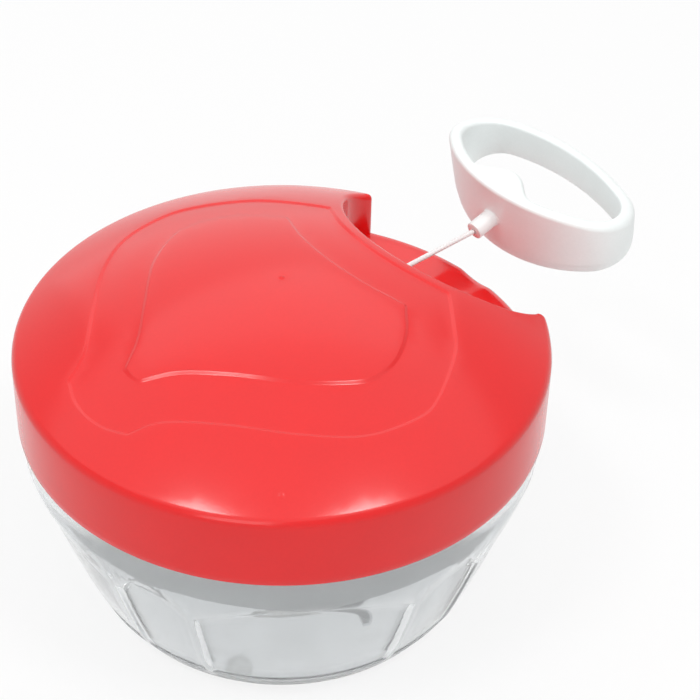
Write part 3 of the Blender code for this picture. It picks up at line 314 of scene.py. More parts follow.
# Sizes that follow
LID_RADIUS = LID_HIGH.x
LID_TOP = LID_HIGH.z
SKIRT_BOTTOM = LID_LOW.z
SHOULDER_RADIUS = LID_RADIUS - SHOULDER_FILLET
DOME_RISE = LID_TOP - SHOULDER_HEIGHT
DOME_RADIUS = (SHOULDER_RADIUS ** 2 + DOME_RISE ** 2) / (2 * DOME_RISE)
DOME_CENTRE = LID_TOP - DOME_RADIUS
NOTCH_CENTRE = NOTCH_BACK + NOTCH_RADIUS
NOTCH_FLOOR = SHOULDER_HEIGHT - NOTCH_FLOOR_DROP
CORD_DIRECTION = Vector((cos(CORD_RISE_ANGLE), 0, sin(CORD_RISE_ANGLE)))
HANDLE_TIP = Vector((DOCKED_TIP_X, 0, CORD_HEIGHT)) + PULL_OUT * CORD_DIRECTION


# Settings that a user would change


def length(label, default, hint):
    """A length in metres for a settings panel."""
    return FloatProperty(name=label, description=hint, default=default, min=0, precision=5,
                         subtype="DISTANCE", unit="LENGTH")


def tint(label, default, hint):
    """A linear colour for a settings panel."""
    return FloatVectorProperty(name=label, description=hint, default=default, size=3, min=0, max=1,
                               subtype="COLOR")


class LidLook(bpy.types.PropertyGroup):
    """Sizes and colour of the lid."""
    notch_edge: length("Notch edge", 0.0014, "Rounding along the notch's upper edge")
    contour_depth: length("Contour depth", 0.0005, "How far the band between the contours is sunk")
    contour_width: length("Contour width", 0.0011, "Width of each contour's slope")
    scoop_depth: length("Scoop depth", 0.0009, "Depth of the finger scoop in the notch's lip")
    colour: tint("Colour", (0.75, 0.008, 0.009), "The lid's plastic")


class BowlLook(bpy.types.PropertyGroup):
    """Sizes and colour of the bowl."""
    rim_radius: length("Rim radius", 0.0638, "Outside of the rim")
    foot_radius: length("Foot radius", 0.0466, "Outside of the foot")
    wall: length("Wall", 0.0024, "Thickness of the wall")
    floor: length("Floor", 0.0035, "Thickness of the floor")
    panel_depth: length("Panel depth", 0.0006, "How deep the panels are pressed")
    colour: tint("Colour", (0.9, 0.92, 0.93), "The bowl's clear plastic")


class HandleLook(bpy.types.PropertyGroup):
    """Sizes and colour of the ring handle."""
    wall: length("Wall", 0.0036, "Thickness of the ring")
    edge: length("Edge", 0.0015, "Rounding along the upper edges")
    colour: tint("Colour", (0.9, 0.94, 0.93), "The handle's plastic")


class CordLook(bpy.types.PropertyGroup):
    """Size and colour of the cord."""
    diameter: length("Diameter", 0.0013, "Thickness of the cord")
    colour: tint("Colour", (0.9, 0.9, 0.89), "The cord's yarn")


class InnerLook(bpy.types.PropertyGroup):
    """Colours of the pieces inside."""
    cover: tint("Inner cover", (0.53, 0.54, 0.54), "The plate that closes the lid")
    shaft: tint("Blade shaft", (0.84, 0.84, 0.82), "The column that holds the blades")
    steel: tint("Blades", (0.62, 0.63, 0.65), "The blades' steel")


class StageLook(bpy.types.PropertyGroup):
    """Light and floor."""
    floor: tint("Floor", (0.9, 0.9, 0.9), "The floor's colour")
    sky: FloatProperty(name="Surrounding light", description="Strength of the even light all round",
                       default=0.23, min=0)
    key: FloatProperty(name="Key lights", description="Power of the two small lights together",
                       default=7.0, min=0, unit="POWER")
    fill: FloatProperty(name="Fill light", description="Power of the low light at the left",
                        default=2.6, min=0, unit="POWER")
    overhead: FloatProperty(name="Overhead light", description="Power of the large light above",
                            default=20.0, min=0, unit="POWER")
    far: FloatProperty(name="Far light", description="Power of the large light behind",
                       default=3.0, min=0, unit="POWER")


# Shader maths and finishes


class Wire:
    """A socket of a material's nodes; sums, differences and products of it add Math nodes."""

    def __init__(self, tree, socket=None):
        self.tree = tree
        self.socket = socket

    def node(self, kind, settings=None, sockets=None, output=0):
        """Add a node with its settings and socket values or links; its chosen output, if any."""
        made = self.tree.nodes.new(kind)
        for name, value in (settings or {}).items():
            setattr(made, name, value)
        for name, value in (sockets or {}).items():
            join(self.tree, made.inputs[name], value)
        return Wire(self.tree, made.outputs[output]) if made.outputs else None

    def maths(self, operation, first, second=0.0):
        """A Math node on two values."""
        return self.node("ShaderNodeMath", {"operation": operation}, {0: first, 1: second})

    def __add__(self, other):
        return self.maths("ADD", self, other)

    def __radd__(self, other):
        return self.maths("ADD", other, self)

    def __sub__(self, other):
        return self.maths("SUBTRACT", self, other)

    def __rsub__(self, other):
        return self.maths("SUBTRACT", other, self)

    def __mul__(self, other):
        return self.maths("MULTIPLY", self, other)

    def __rmul__(self, other):
        return self.maths("MULTIPLY", other, self)

    def between(self, low, high):
        """0 below low, 1 above high, and smooth between them."""
        sockets = {"Value": self, "From Min": low, "From Max": high}
        return self.node("ShaderNodeMapRange", {"interpolation_type": "SMOOTHSTEP"}, sockets)

    def place(self, stretch=(1, 1, 1)):
        """The object's own coordinates, stretched along each axis."""
        own = self.node("ShaderNodeTexCoord", output=3)
        return self.node("ShaderNodeMapping", None, {"Vector": own, "Scale": stretch})

    def noise(self, scale, detail=3.0, stretch=(1, 1, 1)):
        """A noise from 0 to 1 whose lumps are about one over scale metres wide."""
        sockets = {"Vector": self.place(stretch), "Scale": scale, "Detail": detail}
        return self.node("ShaderNodeTexNoise", None, sockets)

    def mix(self, factor, first, second):
        """One colour over another by a factor."""
        settings = {"data_type": "RGBA"}
        return self.node("ShaderNodeMix", settings, {0: factor, 6: first, 7: second}, 2)

    def bump(self, height, strength, distance):
        """A normal that follows a height."""
        sockets = {"Height": height, "Strength": strength, "Distance": distance}
        return self.node("ShaderNodeBump", None, sockets)


def join(tree, socket, value):
    """Link a wire to a socket, or set the socket to a value."""
    if isinstance(value, Wire):
        tree.links.new(value.socket, socket)
    elif socket.type == "RGBA" and len(value) == 3:
        socket.default_value = (*value, 1)
    else:
        socket.default_value = value


def new_finish(name):
    """A new material with an empty wire to build on and its shader."""
    made = bpy.data.materials.new(name)
    made.use_nodes = True
    return made, Wire(made.node_tree), made.node_tree.nodes["Principled BSDF"]


def set_shader(made, shader, **values):
    """Set or link sockets of a material's shader by their names, with _ for a space."""
    for name, value in values.items():
        join(made.node_tree, shader.inputs[name.replace("_", " ")], value)
    return made


def shifted(colour, factor):
    """A colour made lighter or darker."""
    return tuple(min(1, channel * factor) for channel in colour)


def moulded_plastic(name, colour, roughness, grain=0.02, specular=0.5):
    """Plastic with a faint mottle, uneven gloss and the slight ripple of a moulded face."""
    made, wire, shader = new_finish(name)
    mottle = wire.noise(60, detail=5)
    fine = wire.noise(1400, detail=1)
    ripple = wire.noise(170, detail=1)
    tone = wire.mix(mottle * 0.6 + fine * 0.4, shifted(colour, 0.93), shifted(colour, 1.07))
    normal = wire.bump(ripple * 0.6 + fine * 0.4, strength=grain, distance=0.0003)
    return set_shader(made, shader, Base_Color=tone, Normal=normal,
                      Roughness=mottle * 0.08 + fine * 0.04 + (roughness - 0.06),
                      Specular_IOR_Level=specular)


def clear_plastic(name, colour):
    """Clear plastic with a breath of haze, faint flow lines and a foot rubbed dull."""
    made, wire, shader = new_finish(name)
    haze = wire.noise(70, detail=5).between(0.4, 0.75)
    flow = wire.noise(40, detail=3, stretch=(1, 1, 0.2))
    normal = wire.bump(flow, strength=0.035, distance=0.0006)
    tone = wire.mix(haze, colour, shifted(colour, 0.97))
    height = wire.node("ShaderNodeSeparateXYZ", None, {"Vector": wire.place()}, 2)
    rubbed = 1 - height.between(RUBBED_LOW, RUBBED_HIGH)
    return set_shader(made, shader, Base_Color=tone, Normal=normal,
                      Roughness=haze * 0.08 + rubbed * 0.4 + 0.05,
                      IOR=1.49, Transmission_Weight=0.92)


def worked_steel(name, colour, roughness, stretch):
    """Steel with fine lines along one way and a few duller patches."""
    made, wire, shader = new_finish(name)
    lines = wire.noise(700, detail=3, stretch=stretch)
    patch = wire.noise(90, detail=4).between(0.45, 0.7)
    tone = wire.mix(lines, shifted(colour, 0.86), shifted(colour, 1.08))
    normal = wire.bump(lines, strength=0.12, distance=0.0001)
    return set_shader(made, shader, Base_Color=tone, Normal=normal, Metallic=1.0,
                      Roughness=lines * 0.14 + patch * 0.08 + (roughness - 0.1))


def soft_rubber(name, colour, clear=0.0):
    """Matt rubber with a fine even grain, milky where it is partly clear."""
    made, wire, shader = new_finish(name)
    grain = wire.noise(1500, detail=2)
    tone = wire.mix(wire.noise(120, detail=3), shifted(colour, 0.94), colour)
    normal = wire.bump(grain, strength=0.2, distance=0.0001)
    return set_shader(made, shader, Base_Color=tone, Normal=normal,
                      Roughness=grain * 0.1 + 0.58, Transmission_Weight=clear)


def braided_yarn(name, colour):
    """Smooth braided yarn, with strands that cross slantwise along the cord."""
    made, wire, shader = new_finish(name)
    strands = []
    for lean in (1, -1):
        along = wire.place((1, lean * 0.7, 0.7))
        sockets = {"Vector": along, "Scale": 620, "Distortion": 0.4, "Detail": 1}
        settings = {"wave_type": "BANDS", "bands_direction": "DIAGONAL"}
        strands.append(wire.node("ShaderNodeTexWave", settings, sockets, 1))
    weave = strands[0] * 0.5 + strands[1] * 0.5
    tone = wire.mix(weave, shifted(colour, 0.88), colour)
    normal = wire.bump(weave, strength=0.35, distance=0.0002)
    return set_shader(made, shader, Base_Color=tone, Normal=normal,
                      Roughness=weave * 0.12 + 0.42)


def dress(obj, material, body=None, stands_for=()):
    """Give a piece its one material, body, CAD nodes and slot."""
    obj.data.materials.clear()
    obj.data.materials.append(material)
    if body:
        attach(obj, body)
    if stands_for:
        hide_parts(*stands_for)
    return obj


# Ways of making a mesh


def band(start, count, next_start, next_count, closed=True):
    """Faces between two rows of equal count, or between a row and a point."""
    faces = []
    sides = max(count, next_count)
    if sides == 1:
        return faces
    for side in range(sides if closed else sides - 1):
        turn = (side + 1) % sides
        if count == 1:
            faces.append((start, next_start + side, next_start + turn))
        elif next_count == 1:
            faces.append((start + side, start + turn, next_start))
        else:
            faces.append((start + side, start + turn, next_start + turn, next_start + side))
    return faces


class Skin:
    """Points and faces gathered from several patches, joined where their points meet."""

    def __init__(self):
        self.points = []
        self.faces = []

    def rows(self, rows, closed=True):
        """Add faces from each row of points to the next."""
        starts = []
        for row in rows:
            starts.append(len(self.points))
            self.points.extend(row)
        for index in range(len(rows) - 1):
            self.faces += band(starts[index], len(rows[index]), starts[index + 1],
                               len(rows[index + 1]), closed)

    def curtain(self, head, foot, steps=4):
        """Add upright faces from one open row down to another."""
        self.rows([[top.lerp(low, step / steps) for top, low in zip(head, foot)]
                   for step in range(steps + 1)], closed=False)

    def cap(self, row):
        """Add one flat face over a row of points."""
        start = len(self.points)
        self.points.extend(row)
        self.faces.append(tuple(range(start, start + len(row))))

    def patch(self, points, triangles):
        """Add triangles over their own points."""
        start = len(self.points)
        self.points.extend(points)
        self.faces += [tuple(start + index for index in triangle) for triangle in triangles]

    def made(self, name, closed=True):
        """The object, with its faces outwards; a closed skin with a hole in it is refused."""
        body = bmesh.new()
        corners = [body.verts.new(point) for point in self.points]
        for face in self.faces:
            body.faces.new([corners[index] for index in face])
        bmesh.ops.remove_doubles(body, verts=body.verts, dist=WELD_REACH)
        bmesh.ops.dissolve_degenerate(body, dist=THIN_REACH, edges=body.edges)
        bmesh.ops.recalc_face_normals(body, faces=body.faces)
        open_edges = sum(1 for edge in body.edges if not edge.is_manifold)
        if closed and open_edges:
            raise RuntimeError(f"{name} has {open_edges} open edges")
        mesh = bpy.data.meshes.new(name)
        body.to_mesh(mesh)
        body.free()
        return link(name, mesh)


def link(name, mesh):
    """A new object for a mesh, smooth but for its sharp edges."""
    mesh.shade_smooth()
    mesh.set_sharp_from_angle(angle=SHARP_ANGLE)
    obj = bpy.data.objects.new(name, mesh)
    bpy.context.scene.collection.objects.link(obj)
    return obj


def looped(name, rings):
    """A closed skin from ring to ring and from the last back to the first."""
    skin = Skin()
    skin.rows(rings + [rings[0]])
    return skin.made(name)


def turned(name, profile, sides, offset=0):
    """A solid turned about Z from a closed loop of (radius, height) points."""
    rings = []
    for radius, height in profile:
        turn = [2 * pi * (side + offset) / sides for side in range(sides)]
        ring = [Vector((radius * cos(a), radius * sin(a), height)) for a in turn]
        rings.append(ring if radius else ring[:1])
    return looped(name, rings)


def bar(name, radius, low, high, sides, offset=0):
    """A plain round bar about Z, as a tool."""
    return turned(name, [(0, low), (radius, low), (radius, high), (0, high)], sides, offset)


def post(name, box, radius, low, high, sides=HOLE_SIDES, offset=0):
    """A plain round bar that stands over the middle of a box, as a tool."""
    tool = bar(name, radius, low, high, sides, offset)
    tool.location = ((box[0].x + box[1].x) / 2, (box[0].y + box[1].y) / 2, 0)
    return tool


def prism(name, outline, low, high):
    """An upright solid over an outline of (x, y) points."""
    lower = [Vector((x, y, low)) for x, y in outline]
    upper = [Vector((x, y, high)) for x, y in outline]
    skin = Skin()
    skin.rows([lower, upper])
    skin.cap(lower)
    skin.cap(upper)
    return skin.made(name)


def shaped(obj, tools):
    """Cut or join tools, as (tool, operation) pairs, and keep only the finished mesh."""
    for tool, operation in tools:
        step = obj.modifiers.new(tool.name, "BOOLEAN")
        step.operation = operation
        step.solver = "EXACT"
        step.object = tool
    bpy.context.view_layer.update()
    graph = bpy.context.evaluated_depsgraph_get()
    mesh = bpy.data.meshes.new_from_object(obj.evaluated_get(graph))
    obj.modifiers.clear()
    obj.data = mesh
    for tool, _ in tools:
        bpy.data.objects.remove(tool, do_unlink=True)
    mesh.name = obj.name
    mesh.shade_smooth()
    mesh.set_sharp_from_angle(angle=SHARP_ANGLE)
    return obj


def arc(centre, radius, start, end, steps):
    """Points of an arc from one angle to another, both ends included."""
    angles = [start + (end - start) * step / steps for step in range(steps + 1)]
    return [(centre[0] + radius * cos(a), centre[1] + radius * sin(a)) for a in angles]


def polar(radius, angle, height=0):
    """A point at a radius and angle about Z."""
    return Vector((radius * cos(angle), radius * sin(angle), height))


def ease(value):
    """0 to 1 with soft ends."""
    value = max(0, min(1, value))
    return value * value * (3 - 2 * value)


def curve_through(points, step):
    """A smooth Catmull-Rom curve through points, with a place about every step."""
    places = [Vector(point) for point in points]
    places = [2 * places[0] - places[1]] + places + [2 * places[-1] - places[-2]]
    curve = []
    for index in range(1, len(places) - 2):
        before, start, end, after = places[index - 1:index + 3]
        count = max(2, round((end - start).length / step))
        for turn in range(count):
            t = turn / count
            curve.append(0.5 * (2 * start + (end - before) * t
                                + (2 * before - 5 * start + 4 * end - after) * t ** 2
                                + (3 * start - before - 3 * end + after) * t ** 3))
    return [(point.x, point.y) for point in curve] + [(places[-2].x, places[-2].y)]


def moved_out(loop, distance):
    """A closed loop that runs anticlockwise, moved outwards by a distance."""
    moved = []
    for index, (x, y) in enumerate(loop):
        before = Vector(loop[index - 1])
        here = Vector((x, y))
        after = Vector(loop[(index + 1) % len(loop)])
        one, two = (here - before).normalized(), (after - here).normalized()
        sum_of = Vector((one.y + two.y, -one.x - two.x))
        out = sum_of * (2 / sum_of.length_squared)
        moved.append((x + out.x * distance, y + out.y * distance))
    return moved


def inside(loop, x, y):
    """Whether a place is inside a closed loop."""
    result = False
    for index, (ax, ay) in enumerate(loop):
        bx, by = loop[index - 1]
        if (ay > y) != (by > y) and x < (bx - ax) * (y - ay) / (by - ay) + ax:
            result = not result
    return result


def sheet_points(loops, lines, loose, height):
    """Triangles over the first loop that keep every loop, open line and loose point."""
    flat, edges = [], []
    for line, closed in [(loop, True) for loop in loops] + [(line, False) for line in lines]:
        start = len(flat)
        flat += line
        count = len(line)
        edges += [(start + index, start + index + 1) for index in range(count - 1)]
        if closed:
            edges.append((start + count - 1, start))
    tree = KDTree(len(flat))
    for index, (x, y) in enumerate(flat):
        tree.insert((x, y, 0), index)
    tree.balance()
    for x, y, room in loose:
        if inside(loops[0], x, y) and tree.find((x, y, 0))[2] > room:
            flat.append((x, y))
    scale = CUT_SCALE
    places = [Vector((x * scale, y * scale)) for x, y in flat]
    found = delaunay_2d_cdt(places, edges, [], 1, CUT_REACH)
    points = []
    for place, sources in zip(found[0], found[3]):
        x, y = flat[sources[0]] if sources else (place.x / scale, place.y / scale)
        points.append(Vector((x, y, height(x, y))))
    return points, found[2]


def grid(low, high, spacing):
    """Places of a staggered grid over a rectangle, each with the room that it keeps."""
    places = []
    row = 0
    y = low[1]
    while y <= high[1]:
        x = low[0] + (spacing / 2 if row % 2 else 0)
        while x <= high[0]:
            places.append((x, y, spacing / 2))
            x += spacing
        y += spacing * ROW_SHARE
        row += 1
    return places


# Lid


def dome(x, y):
    """Height of the dome's outside."""
    return DOME_CENTRE + sqrt(DOME_RADIUS ** 2 - x * x - y * y)


def lid_edge(notch_edge):
    """The lid's edge in plan as (x, y, outward x, outward y, rounding), anticlockwise.

    It starts in the middle of the notch's back. Also returned: how many places lie on the notch
    before the rim starts.
    """
    blend_y = NOTCH_HALF_WIDTH - NOTCH_BLEND
    apart = NOTCH_RADIUS - NOTCH_BLEND
    blend = (NOTCH_CENTRE - sqrt(apart ** 2 - blend_y ** 2), blend_y)
    back_end = atan2(blend_y, blend[0] - NOTCH_CENTRE)
    corner_y = NOTCH_HALF_WIDTH + NOTCH_CORNER
    corner = (sqrt((LID_RADIUS - NOTCH_CORNER) ** 2 - corner_y ** 2), corner_y)
    to_side = atan2(corner[1], corner[0])
    half = []

    def follow(centre, radius, start, end, steps, hollow):
        sign = -1 if hollow else 1
        for x, y in arc(centre, radius, start, end, steps)[1 if half else 0:]:
            half.append((x, y, sign * (x - centre[0]) / radius, sign * (y - centre[1]) / radius))

    follow((NOTCH_CENTRE, 0), NOTCH_RADIUS, pi, back_end, steps=24, hollow=True)
    follow(blend, NOTCH_BLEND, back_end, pi / 2, steps=9, hollow=True)
    half.append(((blend[0] + corner[0]) / 2, NOTCH_HALF_WIDTH, 0, -1))
    half.append((corner[0], NOTCH_HALF_WIDTH, 0, -1))
    horn = len(half) - 1
    follow(corner, NOTCH_CORNER, -pi / 2, to_side, steps=7, hollow=False)
    tip = len(half) - 1
    follow((0, 0), LID_RADIUS, to_side, pi, steps=100, hollow=False)
    edge = []
    for index, (x, y, nx, ny) in enumerate(half):
        far_from_horn = notch_edge if index <= horn else SHOULDER_FILLET
        run = hypot(x - corner[0], y - NOTCH_HALF_WIDTH) / HORN_RUN
        edge.append((x, y, nx, ny, HORN_EDGE + (far_from_horn - HORN_EDGE) * ease(run)))
    mirrored = [(x, -y, nx, -ny, rounding) for x, y, nx, ny, rounding in edge[-2:0:-1]]
    return edge + mirrored, tip


def edge_place(spot, share):
    """A point on the rounded edge, from the dome at share 0 to the upright face at share 1."""
    x, y, nx, ny, rounding = spot
    inset = rounding
    for _ in range(EDGE_ROUNDS):
        px, py = x - nx * inset, y - ny * inset
        lean = atan2(px * nx + py * ny, sqrt(DOME_RADIUS ** 2 - px * px - py * py))
        inset = rounding * (1 - sin(lean))
    px, py = x - nx * inset, y - ny * inset
    centre = dome(px, py) - rounding * cos(lean)
    turn = lean + (pi / 2 - lean) * share
    in_by = rounding * (1 - sin(turn))
    return Vector((x - nx * in_by, y - ny * in_by, centre + rounding * cos(turn)))


def floor_height(x, y, scoop_depth):
    """Height of the notch's floor, with its rounded lip and the finger scoop."""
    past = round(max(0, min(LIP_ROUND, hypot(x, y) - (LID_RADIUS - LIP_ROUND))), 7)
    height = NOTCH_FLOOR - LIP_ROUND + sqrt(max(0, LIP_ROUND ** 2 - past ** 2))
    across = min(1, abs(y) / SCOOP_HALF_WIDTH)
    scoop = (1 - across ** 2) ** SCOOP_POWER * ease((x - SCOOP_START) / SCOOP_RUN)
    return height - scoop_depth * scoop


def contour_loop(notch, side, front):
    """A closed contour from its notch side, one flank and its front; the other flank mirrors."""
    flank = curve_through(side, CONTOUR_STEP)
    other = [(x, -y) for x, y in flank[::-1]]
    loop = curve_through(notch, CONTOUR_STEP)[:-1] + flank[:-1]
    return loop + curve_through(front, CONTOUR_STEP)[:-1] + other[:-1]


def lid_top(boundary, look):
    """The dome's skin inside its rounded edge, with the sunk band, gate mark and dimple."""
    outer = contour_loop(OUTER_NOTCH, OUTER_SIDE, OUTER_FRONT)
    inner = contour_loop(INNER_NOTCH, INNER_SIDE, INNER_FRONT)
    sunk = {}
    loops = [[(point.x, point.y) for point in boundary]]
    for contour, inward in ((outer, True), (inner, False)):
        for share, drop in CONTOUR_STEPS:
            loop = moved_out(contour, (share if inward else -share) * look.contour_width / 2)
            sunk.update({place: look.contour_depth * drop for place in loop})
            loops.append(loop)
    marks = (((0, 0), GATE_RADIUS, GATE_DEPTH, GATE_RINGS),
             (DIMPLE_PLACE, DIMPLE_RADIUS, DIMPLE_DEPTH, DIMPLE_RINGS))
    for centre, radius, depth, rings in marks:
        for share, drop in rings:
            loop = arc(centre, radius * share, 0, 2 * pi * 11 / 12, 11)
            sunk.update({place: depth * drop for place in loop})
            loops.append(loop)

    def height(x, y):
        if (x, y) in sunk:
            return dome(x, y) - sunk[(x, y)]
        if not inside(outer, x, y) or inside(inner, x, y):
            return dome(x, y)
        return dome(x, y) - look.contour_depth

    loose = grid((-LID_RADIUS, -LID_RADIUS), (LID_RADIUS, LID_RADIUS), TOP_SPACING)
    return sheet_points(loops, [], loose, height)


def notch_floor(boundary, look):
    """The notch's floor, out over its rounded lip to the skirt."""
    lines = []
    for turn in LIP_TURNS:
        radius = LID_RADIUS - LIP_ROUND + LIP_ROUND * sin(turn)
        reach = asin((NOTCH_HALF_WIDTH - NOTCH_CORNER / 3) / radius)
        lines.append([(radius * cos(a), radius * sin(a)) for a in lip_angles(reach)])
    loose = grid((NOTCH_BACK, -NOTCH_HALF_WIDTH), (LID_RADIUS, NOTCH_HALF_WIDTH), FLOOR_SPACING)
    start = (SCOOP_START - SCOOP_SPACING, -SCOOP_HALF_WIDTH - SCOOP_SPACING)
    end = (LID_RADIUS - LIP_ROUND, SCOOP_HALF_WIDTH + SCOOP_SPACING)
    loose = grid(start, end, SCOOP_SPACING) + [
        place for place in loose if not (start[0] < place[0] and abs(place[1]) < end[1])]
    loop = [(point.x, point.y) for point in boundary]
    return sheet_points([loop], lines, loose, lambda x, y: floor_height(x, y, look.scoop_depth))


def lip_angles(reach):
    """Angles along the notch's lip, closer together over the finger scoop."""
    scoop = SCOOP_MARGIN * SCOOP_HALF_WIDTH / LID_RADIUS
    count = max(2, round((reach - scoop) / LIP_STEP))
    outer = [scoop + (reach - scoop) * step / count for step in range(count + 1)]
    middle = [scoop * step / SCOOP_STEPS for step in range(SCOOP_STEPS)]
    half = middle + outer
    return [-angle for angle in half[:0:-1]] + half


def lid_tools():
    """The tools that hollow the lid and bore its pocket, boss and posts."""
    fillet = SHOULDER_FILLET - LID_WALL
    reach = LID_RADIUS - LID_WALL - fillet
    sphere = DOME_RADIUS - LID_WALL
    lean = asin(reach / (sphere - fillet))
    centre = DOME_CENTRE + sqrt((sphere - fillet) ** 2 - reach ** 2)
    profile = [(0, DOME_CENTRE + sphere)]
    turns = [lean * step / DOME_STEPS for step in range(1, DOME_STEPS + 1)]
    profile += [(sphere * sin(turn), DOME_CENTRE + sphere * cos(turn)) for turn in turns]
    profile += arc((reach, centre), fillet, pi / 2 - lean, 0, 5)[1:]
    profile += [(LID_RADIUS - LID_WALL, SKIRT_BOTTOM - OVERRUN), (0, SKIRT_BOTTOM - OVERRUN)]
    hollow = turned("lid_hollow", profile, WIDE_SIDES, HALF_SIDE)
    liner = bar("notch_liner", NOTCH_RADIUS + LID_WALL, NOTCH_FLOOR - LID_WALL, LID_TOP + OVERRUN,
                WIDE_SIDES, HALF_SIDE)
    liner.location.x = NOTCH_CENTRE
    keep = [(liner, "DIFFERENCE")]
    boss = bar("lid_boss", LID_BOSS_RADIUS, REEL_TOP - LID_BOSS_REACH, LID_TOP + OVERRUN,
               MIDDLE_SIDES)
    keep.append((boss, "DIFFERENCE"))
    for number, box in enumerate(SCREW_BOXES, 1):
        screw_post = post(f"post_{number}", box, SCREW_HOLE_RADIUS + POST_WALL, PLATE_TOP + GAP,
                          LID_TOP + OVERRUN)
        keep.append((screw_post, "DIFFERENCE"))
    back = POCKET_BACK - POCKET_WALL
    block = bar("pocket_block", POCKET_MOUTH_RADIUS + POCKET_WALL / 2, 0,
                NOTCH_BACK + LID_WALL - back, MIDDLE_SIDES)
    block.location = (back, 0, CORD_HEIGHT)
    block.rotation_euler.y = pi / 2
    keep.append((block, "DIFFERENCE"))
    shaped(hollow, keep)
    tools = [(hollow, "DIFFERENCE"), (pocket_tool(), "DIFFERENCE")]
    hole = bar("bolt_hole", BOLT_HOLE_RADIUS, REEL_TOP - BOLT_HOLE_REACH, BOLT_TOP + GAP,
               HOLE_SIDES, HALF_SIDE)
    tools.append((hole, "DIFFERENCE"))
    for number, box in enumerate(SCREW_BOXES, 1):
        hole = post(f"post_hole_{number}", box, SCREW_HOLE_RADIUS, PLATE_TOP,
                    PLATE_TOP + SCREW_LENGTH, POST_HOLE_SIDES, HALF_SIDE)
        tools.append((hole, "DIFFERENCE"))
    return tools


def pocket_tool():
    """The tool for the tapered pocket that takes the handle's boss, with a softened mouth."""
    depth = NOTCH_BACK - POCKET_BACK
    hole = EYELET_RADIUS * EYELET_NECK_SHARE + GAP
    back = -POCKET_WALL - OVERRUN
    flare = POCKET_MOUTH_FLARE
    mouth = POCKET_MOUTH_RADIUS
    profile = [(0, back), (hole, back), (hole, 0), (POCKET_BACK_RADIUS, 0), (mouth, depth - flare),
               (mouth + flare * CORNER_SHARE, depth - flare * CORNER_SHARE),
               (mouth + flare, depth + flare * CORNER_SHARE),
               (mouth + flare, depth + OVERRUN), (0, depth + OVERRUN)]
    tool = turned("boss_pocket", profile, MIDDLE_SIDES, HALF_SIDE)
    tool.location = (POCKET_BACK, 0, CORD_HEIGHT)
    tool.rotation_euler.y = pi / 2
    return tool


class CHOPPER_OT_lid(bpy.types.Operator):
    """Make the red lid with its contours, notch, lip and pocket"""
    bl_idname = "chopper.lid"
    bl_label = "Lid"

    def execute(self, context):
        look = context.scene.chopper_lid
        edge, tip = lid_edge(look.notch_edge)
        skin = Skin()
        rows = [[edge_place(spot, step / EDGE_STEPS) for spot in edge]
                for step in range(EDGE_STEPS + 1)]
        skin.rows(rows)
        skin.patch(*lid_top(rows[0], look))
        wall = edge[-tip:] + edge[:tip + 1]
        foot = [Vector((x, y, floor_height(x, y, look.scoop_depth))) for x, y, _, _, _ in wall]
        skin.curtain([edge_place(spot, 1) for spot in wall], foot)
        reach = atan2(edge[tip][1], edge[tip][0])
        lip = []
        for angle in lip_angles(reach)[1:-1]:
            place = polar(LID_RADIUS, angle)
            place.z = floor_height(place.x, place.y, look.scoop_depth)
            lip.append(place)
        skin.patch(*notch_floor(foot + lip[::-1], look))
        rim = [edge_place(spot, 1) for spot in edge[tip:len(edge) - tip + 1]]
        waist = [Vector((p.x, p.y, NOTCH_FLOOR - LIP_ROUND)) for p in rim]
        skin.curtain(rim, waist)
        belt = waist[:-1] + [foot[0]] + lip
        rows = [belt]
        for inset, rise in SKIRT_STEPS:
            rows.append([polar(LID_RADIUS - SKIRT_EDGE * inset, atan2(p.y, p.x),
                               SKIRT_BOTTOM + SKIRT_EDGE * rise) for p in belt])
        skin.rows(rows)
        skin.cap(rows[-1])
        lid = skin.made("lid_shell")
        shaped(lid, lid_tools())
        plastic = moulded_plastic("lid plastic", look.colour, roughness=0.19, grain=0.06,
                                  specular=0.44)
        dress(lid, plastic, "lid", ["lid_cover"])
        return {"FINISHED"}


# Bowl


def bowl_radius(height, look):
    """The bowl's outer radius at a height: it flares from the foot to a ledge under the lid."""
    share = min(max(height, 0) / FLARE_HEIGHT, 1)
    flare = (look.rim_radius - look.foot_radius) * share ** FLARE_POWER
    return look.foot_radius + flare + SWELL * ease(height / SWELL_RUN)


def bowl_columns():
    """Each upright line of the bowl as (angle, how far pressed in, height of its panel's top)."""
    pair = 2 * pi / PANEL_PAIRS
    wide = WIDE_SHARE * pair
    narrow = pair - wide - 2 * RIB_SHARE * pair - 4 * RIB_SIDE_SHARE * pair
    rise = PANEL_TOP - PANEL_SHOULDER
    columns = []
    for number in range(PANEL_PAIRS):
        angle = PANEL_START_ANGLE + number * pair - wide / 2
        for width, steps in ((wide, WIDE_PANEL_STEPS), (narrow, NARROW_PANEL_STEPS)):
            for step in range(steps + 1):
                crown = rise * (1 - (2 * step / steps - 1) ** 2)
                columns.append((angle + width * step / steps, 1, PANEL_SHOULDER + crown))
            angle += width
            side, rib = RIB_SIDE_SHARE * pair, RIB_SHARE * pair
            turns = [(side * share, pressed) for share, pressed in RIB_SIDE_STEPS]
            turns += [(side * (2 - share) + rib, pressed)
                      for share, pressed in reversed(RIB_SIDE_STEPS)]
            columns += [(angle + turn, pressed, PANEL_SHOULDER) for turn, pressed in turns]
            angle += 2 * side + rib
    return columns


def panel_ring(columns, share, pressed, look):
    """A ring of the outer wall, at a share of the way up each panel."""
    ring = []
    for angle, inside_by, top in columns:
        low = PANEL_LOW - PANEL_EDGE * (1 - pressed)
        high = top + PANEL_EDGE * (1 - pressed)
        height = low + (high - low) * share
        ring.append(polar(bowl_radius(height, look) - look.panel_depth * inside_by * pressed,
                          angle, height))
    return ring


